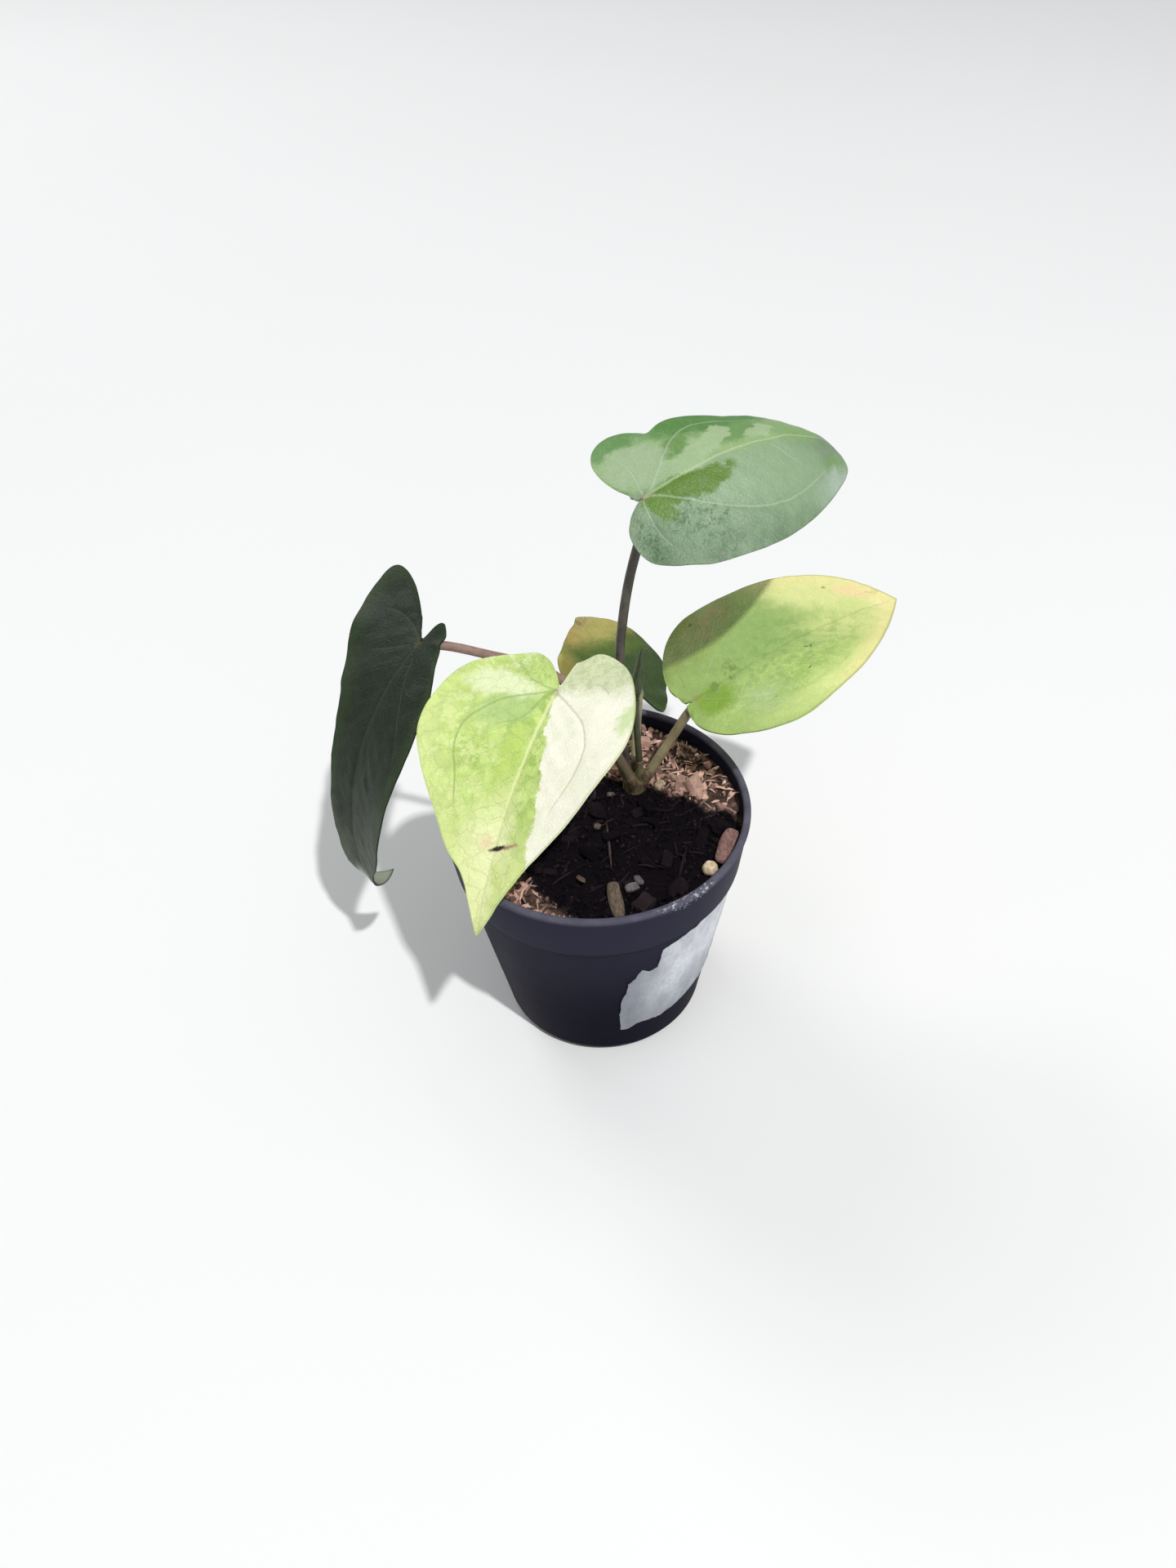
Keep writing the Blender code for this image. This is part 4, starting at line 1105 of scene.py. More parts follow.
def vein_relief(leaf, x, y, depth):
    """Shallow grooves along the veins, in mm."""
    relief = numpy.zeros_like(x)
    fade = numpy.clip(numpy.hypot(x, y) / 6.0, 0.0, 1.0)
    for vein in VEINS[leaf.name]:
        fit, first, last = vein_fit(vein)
        along, across = (x, y) if vein.along == "x" else (y, x)
        place = (along - first) / (last - first)
        lean = numpy.polyval(numpy.polyder(fit), along)
        away = abs(across - numpy.polyval(fit, along)) / numpy.sqrt(lean ** 2 + 1)
        inside = numpy.clip(place * 20, 0, 1) * numpy.clip((1 - place) * 5, 0, 1)
        relief -= depth * numpy.exp(-(away / 1.0) ** 2) * inside
    rib = numpy.clip(x / 8, 0, 1) * numpy.clip((leaf.left[0] - x) / 20, 0, 1)
    relief -= 1.6 * depth * numpy.exp(-(y / 1.1) ** 2) * rib
    swell = numpy.cos(math.tau * (x - abs(y) * SIDE_VEIN_LEAN) / SIDE_VEIN_STEP)
    away = abs(y)
    relief += 0.5 * depth * swell * numpy.clip(away / 6, 0, 1) * numpy.clip(1.6 - away / 12, 0, 1)
    return relief * fade


def outline_reach(leaf, turn):
    """Reach at signed angles, with the small dips of the margin and rounded notch corners."""
    reach = numpy.where(turn >= 0, reach_curve(leaf.left, abs(turn)),
                        reach_curve(leaf.right, abs(turn)))
    for middle, width, depth in DIPS.get(leaf.name, ()):
        reach = reach * (1 - depth * numpy.exp(-((turn - middle) / width) ** 2))
    lobe = numpy.where(turn >= 0, leaf.left[-1], leaf.right[-1])
    start = numpy.where(lobe < NARROW_LOBE, NARROW_LOBE_START,
                        ROUND_LOBE_START if leaf.name in ROUND_LOBES else NOTCH_ANGLE)
    closing = numpy.clip((abs(turn) - start) / (NOTCH_ANGLE + 4 - start), 0, 1)
    return reach * numpy.sqrt(1 - closing ** 2)


def blade_surface(leaf, turn, share, depth, ripple_size):
    """Places of the upper face in metres, and their flat places in mm."""
    reach = outline_reach(leaf, turn)
    x = reach * share * numpy.cos(numpy.radians(turn))
    y = reach * share * numpy.sin(numpy.radians(turn))
    mid_x, mid_z, slope = midrib_points(leaf, x)
    ripple = numpy.sin(numpy.radians(7.5 * turn) + leaf.yaw)
    joint_fold = numpy.where(turn > 0, leaf.fold[0], leaf.fold[1])
    along = numpy.clip(2 * x / leaf.left[0], 0.0, 1.0)
    fold = joint_fold + (leaf.fold[2] - joint_fold) * along
    lift = (fold * (numpy.hypot(y, 2) - 2) + leaf.cup * y * y + leaf.twist * x * y
            + leaf.wave * share ** 4 * ripple * numpy.minimum(1.0, abs(turn) / 15))
    lift += vein_relief(leaf, x, y, depth)
    lift += ripple_size * numpy.array([
        noise.noise(Vector((across / 9, up / 9, leaf.yaw))) * 0.7
        + noise.noise(Vector((across / 3.6, up / 3.6, leaf.rise))) * 0.3
        for across, up in zip(x, y)]) * numpy.clip(share * 2.5, 0, 1)
    places = numpy.stack((mid_x + lift * numpy.sin(slope), y, mid_z + lift * numpy.cos(slope)), 1)
    frame_matrix = numpy.array(leaf_frame(leaf))
    places = places @ frame_matrix[:3, :3].T + frame_matrix[:3, 3]
    return places * MM, numpy.stack((x, y, share), 1)


def make_blade(leaf, settings):
    """A heart-shaped blade: a grid wrapped round the joint, then thickened."""
    bpy.ops.mesh.primitive_grid_add(x_subdivisions=settings.rays, y_subdivisions=settings.rings,
                                    size=2)
    blade = bpy.context.active_object
    blade.name = leaf.name + "_leaf"
    grid = places_of(blade)
    turn = -NOTCH_ANGLE * numpy.sign(grid[:, 0]) * abs(grid[:, 0]) ** RAY_GATHER
    share = (grid[:, 1] + 1) / 2
    places, flat = blade_surface(leaf, turn, share, settings.groove / MM, settings.ripple / MM)
    put_places(blade, places)
    mark(blade, "flat", "FLOAT_VECTOR", "vector", flat.ravel())
    edit(blade, weld(0.00002))
    blade.data.materials.append(None)
    blade.data.materials.append(None)
    modify(blade, "SOLIDIFY", thickness=settings.thickness, offset=-1.0, material_offset=1)
    return smooth_faces(blade, 50)


def paint_upper(leaf, roughness):
    """The coloured upper face: areas, veins, fine cells and a satin skin."""
    paint = LeafPaint(leaf, "_upper", roughness)
    name = leaf.name
    look = LOOKS[name]
    base = srgb(*look.base)
    colour = paint.cloudy(paint.noise(paint.flat, 6.0, 4, 0.6), base, 0.86, 1.1)
    for area in AREAS[name]:
        colour = paint.area(colour, *area)
    vein_tone = srgb(*look.veins)
    if look.rim:
        low, high, strength, tone = look.rim
        rim = paint.smooth(paint.share, low, high) * strength
        if look.rim_from:
            rim = rim * paint.smooth(paint.x, *look.rim_from)
        colour = paint.mix(rim, colour, srgb(*tone))
    side, net = paint.laterals(), paint.net()
    if name == "blade_front":
        colour, vein_tone, cream = paint_cream(paint, colour, vein_tone)
        side = side * (1 - cream * 0.7)
        net = net * (1 - cream * 0.9)
    blotches = paint.smooth(paint.noise(paint.flat, 2.2, 4, 0.65), 0.35, 0.7)
    colour = paint.shade(colour, blotches * 0.06 + 0.97)
    faint, clear, strong, fine = look.strength
    colour = paint.mix(side * faint, colour, vein_tone)
    colour = paint.mix(net * fine, colour, vein_tone)
    lines = 0.0
    for vein in VEINS[name]:
        mask = paint.vein(vein)
        colour = paint.mix(mask * clear, colour, vein_tone)
        lines = mask + lines
    rib = paint.midrib(*look.rib)
    colour = paint.mix(rib * strong, colour, srgb(*look.midrib))
    joint = paint.oval(paint.flat, 0.3, 0, 1.5, 1.1, 0, 0.6)
    colour = paint.mix(joint * look.joint, colour, srgb(140, 118, 80))
    if name == "blade_front":
        colour = paint_scar(paint, colour)
    cells = paint.cells(paint.flat, 0.85)
    colour = paint.shade(colour, paint.smooth(cells, 0.0, 0.25) * 0.07 + 0.95)
    edge = paint.smooth(paint.share, 0.985, 0.999)
    colour = paint.mix(edge * 0.5, colour, scaled(base, 0.7))
    height = (paint.smooth(cells, 0.0, 0.3) * 0.25 + paint.noise(paint.flat, 0.5, 3, 0.6) * 0.3
              + blotches * 0.15 - lines * 0.4 - rib * 0.6 - side * 0.3 - net * 0.35)
    rough = paint.noise(paint.flat, 3.0, 3, 0.6) * 0.16 + (roughness - 0.08) + rib * 0.06
    return paint.finish(colour, rough, paint.bump(height, 0.00022, 0.7))


def paint_cream(paint, colour, vein_tone):
    """The cream half of the front leaf, with a green-flecked lobe behind the joint."""
    points = numpy.array(CREAM_EDGE)
    x, y, _ = paint.split(paint.ragged)
    edge = paint.curve(numpy.polyfit(points[:, 0], points[:, 1], 5), x)
    cream = (paint.smooth(y - edge, -0.5, 0.6) * paint.smooth(x, 56, 51)
             * paint.smooth(x, -30, -29))
    behind = paint.smooth(y, -0.4, 0.6)
    cream = paint.maths("MAXIMUM", cream, behind * paint.smooth(x, 1.0, -0.5))
    tone = paint.mix(paint.smooth(paint.noise(paint.flat, 12.0, 2, 0.5), 0.35, 0.65),
                     srgb(*CREAM), srgb(250, 250, 224))
    lobe = paint.smooth(x, 3.0, -3.0)
    tone = paint.mix(lobe * 0.75, tone, srgb(208, 218, 166))
    tone = paint.mix(lobe * paint.fleck * 0.6, tone, srgb(182, 198, 138))
    green = paint.oval(paint.ragged, 8.5, 28.2, 5.0, 2.6, 10, 0.4)
    tone = paint.mix(green * 0.8, tone, srgb(200, 224, 150))
    return (paint.mix(cream, colour, tone), paint.mix(cream, vein_tone, srgb(*VEIN_CREAM)),
            cream)


def paint_scar(paint, colour):
    """A dry slit with a dark end and a pink halo, near the front leaf's tip."""
    halo = paint.oval(paint.gentle, 46.0, -2.4, 1.6, 1.8, 0, 0.6)
    colour = paint.mix(halo * 0.6, colour, srgb(240, 208, 172))
    near = paint.moved(paint.flat, paint.wander(paint.flat, 1.4, 3, 0.7), 1.8)
    slit = paint.oval(near, 46.2, 3.6, 4.2, 0.55, -74, 0.4)
    colour = paint.mix(slit * 0.9, colour, srgb(176, 134, 108))
    dark = paint.oval(near, 46.9, 1.2, 2.6, 0.6, -70, 0.4)
    return paint.mix(dark, colour, srgb(38, 28, 26))


def paint_under(leaf):
    """The paler, duller underside, whose veins stand out."""
    paint = LeafPaint(leaf, "_under", 0.6)
    base = srgb(*LOOKS[leaf.name].under)
    mottle = paint.noise(paint.flat, 5.0, 4, 0.6)
    colour = paint.cloudy(mottle, base, 0.85, 1.0)
    pale = tuple(min(1.0, c * 1.35) for c in base)
    lines = 0.0
    for vein in VEINS[leaf.name]:
        mask = paint.vein(vein)
        colour = paint.mix(mask * 0.5, colour, pale)
        lines = mask + lines
    rib = paint.midrib(1.2, 0.4)
    side = paint.laterals()
    colour = paint.mix(paint.maths("MAXIMUM", rib, side * 0.3) * 0.7, colour, pale)
    cells = paint.smooth(paint.cells(paint.flat, 0.85), 0.0, 0.25)
    colour = paint.shade(colour, cells * 0.1 + 0.92)
    height = cells * 0.3 + lines * 0.6 + rib * 0.9 + side * 0.4
    return paint.finish(colour, mottle * 0.1 + 0.55, paint.bump(height, 0.0003, 0.7))


# Stalks and crown

def stalk_route(stalk):
    """The route of the solid's stalk, run on until it touches the blade's underside."""
    points = [Vector(point) * MM for point in stalk.route]
    if stalk.meets:
        kind = stalk.name.split("_")[1]
        leaf = next(leaf for leaf in LEAVES if leaf.name == "blade_" + kind)
        turn = leaf_frame(leaf).to_3x3()
        joint = Vector(leaf.joint) * MM
        up = turn @ Vector((0, 0, 1))
        if stalk.meets == "under":
            end = joint - up * BELOW_BLADE
            points += [end - up * STALK_LEAD, end]
        elif stalk.meets == "along":
            end = joint - up * (BELOW_BLADE + stalk.radius * MM * (1 + END_SWELL))
            heading = end - points[-1]
            heading = (heading - up * heading.dot(up)).normalized()
            points += [end - heading * STALK_LEAD, end + heading * STALK_LEAD / 3]
        else:
            backwards = turn @ Vector((-1, 0, 0))
            end = joint - up * (BELOW_BLADE + stalk.radius * MM * (1 + END_SWELL))
            points += [end + backwards * 4.8 * MM - up * 0.3 * MM, end - backwards * 1.0 * MM]
    route = smooth_route(points, 4 * len(points) - 3)
    for _ in range(STALK_SMOOTHING):
        middles = [(a + 2 * b + c) / 4 for a, b, c in zip(route, route[1:], route[2:])]
        route = [route[0], *middles, route[-1]]
    return route


def make_stalk(stalk, settings):
    """A stalk that is a little thicker at its foot and swollen where it meets the leaf."""
    coarse = stalk_route(stalk)
    first = (coarse[1] - coarse[0]).normalized()
    route = smooth_route([coarse[0] - first * 0.8 * MM, *coarse], settings.steps * len(coarse))
    radii = []
    for number, place in enumerate(route):
        share = number / (len(route) - 1)
        swell = (FOOT_SWELL * (1 - share) ** 3
                 + END_SWELL * math.exp(-((share - 0.97) / 0.05) ** 2))
        knobs = 0.025 * noise.noise(place / (3 * MM))
        closing = min(1.0, (1.02 - share) * len(route) / 5) ** 0.5 if stalk.meets else 1.0
        radii.append(stalk.radius * MM * (1 + swell + knobs) * closing)
    item = tube(stalk.name + "_stalk", route, radii, settings.sides)
    return smooth_faces(item, 50)


def paint_stalk(stalk):
    """Smooth skin with fine speckles drawn out along the stalk."""
    plain, pale, dark = [srgb(*tone) for tone in stalk.tones]
    paint = Paint(stalk.name + "_skin", 0.42)
    place = paint.object_place()
    cloud = paint.noise(place, 0.006, 3, 0.6)
    drawn = paint.stretch(place, 1.0, 1.0, 0.3)
    specks = paint.smooth(paint.noise(drawn, 0.0005, 4, 0.7), 0.55, 0.66)
    dots = paint.smooth(paint.cells(drawn, 0.0009, "F1"), 0.22, 0.1)
    tone = paint.mix(paint.smooth(cloud, 0.3, 0.7), plain, pale)
    tone = paint.mix(specks * 0.45, tone, dark)
    tone = paint.mix(dots * 0.5, tone, pale)
    height = paint.noise(drawn, 0.0009, 3, 0.6) + dots * 0.4
    return paint.finish(tone, 0.36 + cloud * 0.14, paint.bump(height, 0.00012, 0.6))


def make_crown():
    """The short stem with the sheath of each stalk, grown together."""
    bpy.ops.mesh.primitive_cylinder_add(vertices=40, radius=CROWN_RADIUS * 0.86,
                                        depth=CROWN_TOP - CROWN_FOOT,
                                        location=(*CROWN.xy, (CROWN_TOP + CROWN_FOOT) / 2))
    parts = [bpy.context.active_object]
    for stalk in STALKS:
        route = stalk_route(stalk)
        heading = (route[1] - route[0]).normalized()
        end = route[0] + heading * 0.6 * MM
        root = CROWN + Vector((0, 0, STUB_ROOT)) + (end - CROWN).to_2d().to_3d() * 0.25
        points = smooth_route([root, end - heading * 1.8 * MM, end], SHEATH_STEPS)
        radii = [stalk.radius * MM * (1.3 - 0.16 * step / (SHEATH_STEPS - 1))
                 for step in range(SHEATH_STEPS)]
        parts.append(tube("sheath_" + stalk.name, points, radii, 4))
    choose(parts[0])
    for part in parts:
        part.select_set(True)
    bpy.ops.object.join()
    crown = bpy.context.active_object
    crown.name = "crown_stem"
    bpy.ops.object.transform_apply(location=True, rotation=True, scale=True)
    modify(crown, "REMESH", mode="VOXEL", voxel_size=CROWN_VOXEL, use_smooth_shade=True)
    modify(crown, "SMOOTH", factor=0.6, iterations=4)
    places = places_of(crown)
    normals = numpy.empty(len(places) * 3)
    crown.data.vertices.foreach_get("normal", normals)
    lumps = numpy.array([noise.noise(Vector((x, y, z * 0.35)) / (0.8 * MM)) for x, y, z in places])
    put_places(crown, places + normals.reshape(-1, 3) * lumps[:, None] * CROWN_LUMPS)
    return crown


def grained(name, roughness, drawn, size, detail, rough, tones, low, high):
    """A material under way, its place, a drawn-out grain and its colour between two tones."""
    paint = Paint(name, roughness)
    place = paint.object_place()
    grain = paint.noise(paint.stretch(place, *drawn), size, detail, rough)
    return paint, place, grain, paint.mix(paint.smooth(grain, low, high), *tones)


def paint_crown():
    """Brown papery sheaths over a greenish stem."""
    tones = (srgb(72, 56, 44), srgb(126, 106, 78))
    paint, place, streak, tone = grained("crown_skin", 0.75, (1, 1, 0.2), 0.0007, 4, 0.7,
                                         tones, 0.35, 0.65)
    green = paint.smooth(paint.noise(place, 0.004, 3, 0.6), 0.5, 0.7)
    tone = paint.mix(green * 0.7, tone, srgb(106, 108, 70))
    return paint.finish(tone, 0.6 + streak * 0.3, paint.bump(streak, 0.0003, 0.8))


def make_spike():
    """The rolled blade: a spindle whose outer edge laps over along one side."""
    points = [Vector(point) * MM for point in SPIKE_ROUTE]
    route = smooth_route(points, SPIKE_STEPS + 1)
    radii = smooth_route([Vector((radius * MM, 0, 0)) for radius in SPIKE_RADII],
                         SPIKE_STEPS + 1)
    places = []
    laps = []
    for number, middle in enumerate(route):
        ahead = route[min(number + 1, SPIKE_STEPS)] - route[max(number - 1, 0)]
        across = ahead.cross(Vector((0, 1, 0))).normalized()
        other = across.cross(ahead).normalized()
        for side in range(SPIKE_SIDES):
            share = side / SPIKE_SIDES
            radius = max(0.05 * MM, radii[number].x) * (0.84 + 0.28 * share)
            turn = math.tau * share + 1.2 * number / SPIKE_STEPS
            places.append(middle + radius * (math.cos(turn) * across + math.sin(turn) * other))
            laps.append(share)
    rows = [range(row * SPIKE_SIDES, (row + 1) * SPIKE_SIDES) for row in range(SPIKE_STEPS + 1)]
    faces = [(low[side], low[side + 1], high[side + 1], high[side])
             for low, high in zip(rows, rows[1:]) for side in range(-1, SPIKE_SIDES - 1)]
    faces += [tuple(reversed(rows[0])), tuple(rows[-1])]
    item = new_item("new_leaf_spike", places, [], faces)
    mark(item, "tint", "FLOAT", "value", laps)
    edit(item, outward)
    return smooth_faces(item, 60)


def paint_spike():
    """Dark rolled leaf with a pale overlapping edge."""
    tones = (srgb(46, 58, 36), srgb(72, 86, 54))
    paint, _, streak, tone = grained("rolled_leaf", 0.4, (1, 1, 0.15), 0.0006, 3, 0.6, tones,
                                     0.3, 0.7)
    tone = paint.mix(paint.smooth(paint.tint(), 0.88, 0.97) * 0.6, tone, srgb(140, 140, 104))
    return paint.finish(tone, 0.34 + streak * 0.16, paint.bump(streak, 0.00012, 0.6))


# Settings

def count_of(name, default, description):
    return bpy.props.IntProperty(name=name, default=default, description=description)


def amount_of(name, default, description, unit="NONE"):
    return bpy.props.FloatProperty(name=name, default=default, description=description, unit=unit)


def colour_of(name, default, description):
    return bpy.props.FloatVectorProperty(name=name, default=default, description=description,
                                         subtype="COLOR", size=3)


class ANTHURIUM_PG_pot(bpy.types.PropertyGroup):
    steps: count_of("Steps", 160, "Faces round the pot")
    colour: colour_of("Plastic", (0.0018, 0.0017, 0.0105), "Colour of the pot")
    label: colour_of("Label", (0.70, 0.72, 0.78), "Colour of the sticker's paper")
    label_thickness: amount_of("Label thickness", 0.00022, "Thickness of the sticker", "LENGTH")


class ANTHURIUM_PG_soil(bpy.types.PropertyGroup):
    crumbs: count_of("Crumbs", 2300, "How many crumbs lie on the soil")
    shavings: count_of("Shavings", 420, "How many splinters are tried, fewer on the damp side")
    seed: count_of("Seed", 5, "Start of the scatter")
    # Colours of the soil: the first is the dark mix in the painted shade band, the second the
    # reddish bark in the two patches painted as sunlit.
    dark: colour_of("Damp mix", (0.0056, 0.0026, 0.0066), "Colour of the damp soil")
    bark: colour_of("Dry bark", (0.84, 0.52, 0.43), "Colour of the dry bark")


class ANTHURIUM_PG_leaves(bpy.types.PropertyGroup):
    rays: count_of("Rays", 260, "Faces round a leaf's margin")
    rings: count_of("Rings", 74, "Faces from joint to margin")
    thickness: amount_of("Thickness", 0.0005, "Thickness of a blade", "LENGTH")
    groove: amount_of("Vein depth", 0.00016, "Depth of a vein's groove", "LENGTH")
    ripple: amount_of("Ripple", 0.0005, "Height of the gentle undulation", "LENGTH")
    roughness: amount_of("Roughness", 0.46, "Dullness of the skin")


class ANTHURIUM_PG_stalks(bpy.types.PropertyGroup):
    steps: count_of("Steps", 5, "Steps for each point of the route")
    sides: count_of("Roundness", 5, "Steps in a quarter of the round")


class ANTHURIUM_PG_stage(bpy.types.PropertyGroup):
    key: amount_of("Key light", 60.0, "Power of the main light", "POWER")
    key_size: amount_of("Key size", 0.09, "Width of the main light", "LENGTH")
    back: amount_of("Back light", 19.0, "Power of the light behind", "POWER")
    fill: amount_of("Fill", 0.36, "Brightness of the surroundings")
    floor: colour_of("Floor", (0.93, 0.93, 0.925), "Colour of the floor")


# Operators

class ANTHURIUM_OT_pot(bpy.types.Operator):
    """Turn the nursery pot and cut its drain holes"""
    bl_idname = "anthurium.pot"
    bl_label = "Make the pot"

    def execute(self, context):
        settings = context.scene.anthurium_pot
        pot = turned("nursery_pot", pot_profile(), settings.steps)
        for cutter in drain_cutter():
            modify(pot, "BOOLEAN", operation="DIFFERENCE", solver="EXACT", object=cutter)
            bpy.data.objects.remove(cutter, do_unlink=True)
        smooth_faces(pot, 38)
        dress(pot, "pot", paint_pot(tuple(settings.colour)))
        return {"FINISHED"}


class ANTHURIUM_OT_label(bpy.types.Operator):
    """Cut the torn sticker and wrap it on the pot's wall"""
    bl_idname = "anthurium.label"
    bl_label = "Make the label"

    def execute(self, context):
        settings = context.scene.anthurium_pot
        corners = []
        for here, there in zip(LABEL_OUTLINE, (*LABEL_OUTLINE[1:], LABEL_OUTLINE[0])):
            start, end = Vector(here), Vector(there)
            count = max(1, int((end - start).length / LABEL_STEP))
            wander = TORN_WANDER if start.x < TORN_SIDE else CUT_WANDER
            for number in range(count):
                spot = start.lerp(end, number / count)
                spot += wander * Vector((noise.noise(Vector((*spot, 0)) / 1.7),
                                         noise.noise(Vector((*spot, 4)) / 1.7)))
                corners.append((spot.x, spot.y, 0.0))
        label = new_item("label_sticker", corners, [], [tuple(range(len(corners)))])
        bpy.ops.object.mode_set(mode="EDIT")
        for axis, step in enumerate(LABEL_MESH):
            low = min(corner[axis] for corner in corners)
            high = max(corner[axis] for corner in corners)
            way = Vector((1 - axis, axis, 0))
            for number in range(1, int((high - low) / step)):
                bpy.ops.mesh.select_all(action="SELECT")
                bpy.ops.mesh.bisect(plane_co=way * (low + number * step), plane_no=way)
        bpy.ops.object.mode_set(mode="OBJECT")
        wrapped = []
        for angle, height, _ in places_of(label):
            radius = wall_radius(height * MM) + label_wrinkle(angle, height) * MM
            turn = math.radians(angle)
            wrapped.append((radius * math.cos(turn), radius * math.sin(turn), height * MM))
        put_places(label, wrapped)
        modify(label, "SOLIDIFY", thickness=settings.label_thickness, offset=1.0)
        edit(label, outward)
        smooth_faces(label, 40)
        dress(label, "label", paint_label(tuple(settings.label)))
        return {"FINISHED"}


class ANTHURIUM_OT_soil(bpy.types.Operator):
    """Fill the pot with bark mix and scatter chips, crumbs and fibres on it"""
    bl_idname = "anthurium.soil"
    bl_label = "Make the soil"

    def execute(self, context):
        settings = context.scene.anthurium_soil
        dark, bark = tuple(settings.dark), tuple(settings.bark)
        self.ground(paint_soil(dark, bark, "soil_ground", False))
        loose = paint_soil(dark, bark, "soil_bits", True)
        draw = random.Random(CHIP_SEED)
        chips = Heap()
        block = block_shape()
        for place in chip_places(draw, CHIP_COUNT, CHIP_CLEAR):
            length = draw.uniform(*CHIP_LENGTH) * MM
            size = Vector((length, length * draw.uniform(0.4, 0.7),
                           length * draw.uniform(0.4, 0.55)))
            turn = Euler((draw.gauss(0, 0.35), draw.gauss(0, 0.35), draw.uniform(0, math.tau)))
            place.z = soil_height(place.x, place.y) + draw.uniform(-0.1, 0.14) * length
            tint = 0.5 + 0.5 * noise.noise(place / MM)
            chips.add(block, place, size * 0.98, turn, tint, warp=0.3, grain=1.3 * MM)
        splinter = fibre_shape()
        for place in chip_places(draw, FIBRE_COUNT, FIBRE_CLEAR):
            size = Vector((draw.uniform(*FIBRE_LENGTH), FIBRE_THICK, FIBRE_THICK)) * MM
            turn = Euler((0.4, draw.uniform(-0.2, 0.2), draw.uniform(0, math.tau)))
            place.z = soil_height(place.x, place.y) + 0.4 * MM
            chips.add(splinter, place, size, turn, 0.75, warp=0.3)
        self.finish_bits(chips, "bark_chips", loose)
        draw = random.Random(settings.seed)
        crumbs = Heap()
        grit = crumb_shape()
        for place in self.spread(draw, settings.crumbs, 0.3 * MM):
            longest = CRUMB_LENGTH[1] + PATCH_CRUMB * coarse_patch(place.x, place.y)
            length = draw.uniform(CRUMB_LENGTH[0], longest) * MM
            size = length * Vector((1, draw.uniform(0.5, 0.9), draw.uniform(0.4, 0.8)))
            turn = Euler((draw.uniform(0, 3), draw.uniform(0, 3), draw.uniform(0, 6)))
            crumbs.add(grit, place, size, turn, draw.random(), warp=0.5, grain=0.6 * MM)
        self.finish_bits(crumbs, "soil_crumbs", loose)
        shavings = Heap()
        for place in self.spread(draw, settings.shavings, 0.5 * MM):
            if coarse_patch(place.x, place.y) < 0.3 and draw.random() < SHADE_BAND_SHARE:
                continue
            length = draw.uniform(*SHAVING_LENGTH) * MM
            thick = draw.uniform(*SHAVING_THICK) * MM
            size = Vector((length, thick, thick * draw.uniform(0.35, 0.9)))
            turn = Euler((draw.gauss(0, 0.5), draw.gauss(0, 0.3), draw.uniform(0, math.tau)))
            shavings.add(splinter, place, size, turn, draw.uniform(0.35, 1.0),
                         bend=draw.uniform(-0.8, 1.6), warp=0.5, grain=1.5 * MM)
        self.finish_bits(shavings, "bark_shavings", loose)
        self.marked_bits()
        return {"FINISHED"}

    def ground(self, paint):
        """The potful of mix, whose top is bumpy and crumbly."""
        rim = BAND_TOP_RADIUS - WALL - 0.25 * MM
        profile = [(rim * (ring / SOIL_RINGS) ** 0.8, SOIL_HEIGHT)
                   for ring in range(SOIL_RINGS + 1)]
        profile += [
            (BAND_FOOT_RADIUS - WALL - SOIL_GAP, SHELF + WALL),
            (wall_radius(SHELF) - WALL - SOIL_GAP, SHELF - WALL),
            (wall_radius(CORNER) - WALL - SOIL_GAP, CORNER + FLOOR),
            (WALL_FOOT_RADIUS - CORNER - WALL, FLOOR + SOIL_GAP),
            (0.0, FLOOR + SOIL_GAP),
        ]
        soil = turned("soil_ground", profile, SOIL_STEPS)
        places = places_of(soil)
        for place in places:
            if place[2] > SOIL_HEIGHT - 0.01 * MM:
                place[2] = soil_height(place[0], place[1]) + crumbly(place[0], place[1])
        put_places(soil, places)
        dress(soil, "soil", paint)

    def spread(self, draw, count, raised):
        """Seeded places all over the soil, clear of the crown and the wall."""
        places = []
        while len(places) < count:
            place = random_place(draw, BAND_TOP_RADIUS - WALL - LOOSE_EDGE)
            if (place - CROWN).length > CROWN_RADIUS:
                x, y, _ = place
                place.z = soil_height(x, y) + crumbly(x, y) * 0.7 + raised
                places.append(place)
        return places

    def finish_bits(self, heap, name, paint):
        item = heap.gather(name)
        edit(item, outward)
        smooth_faces(item, 35)
        dress(item, "soil", paint)

    def marked_bits(self):
        """The bits that stand out in the soil: a fertiliser grain and a few pale chips."""
        bpy.ops.mesh.primitive_uv_sphere_add(segments=40, ring_count=24, radius=GRAIN_RADIUS,
                                             location=GRAIN_PLACE)
        grain = bpy.context.active_object
        bpy.ops.object.transform_apply(location=True, rotation=True, scale=True)
        places = places_of(grain)
        for place in places:
            place += (place - GRAIN_PLACE) * 0.07 * noise.noise(Vector(place) / (1.1 * MM))
        put_places(grain, places)
        bpy.ops.object.shade_smooth()
        grain.name = "fertiliser_grain"
        dress(grain, "soil", paint_grain())
        draw = random.Random(BIT_SEED)
        shapes = {"block": block_shape(), "splinter": fibre_shape()}
        for name, shape, place, size, turn, tone in MARKED_BITS:
            heap = Heap()
            heap.add(shapes[shape], Vector(place) * MM, Vector(size) * MM, Euler(turn),
                     draw.random(), warp=0.35, grain=1.2 * MM)
            item = heap.gather(name)
            modify(item, "SUBSURF", levels=1, render_levels=1)
            edit(item, outward)
            bpy.ops.object.shade_smooth()
            dress(item, "soil", paint_bit(name, srgb(*tone)))


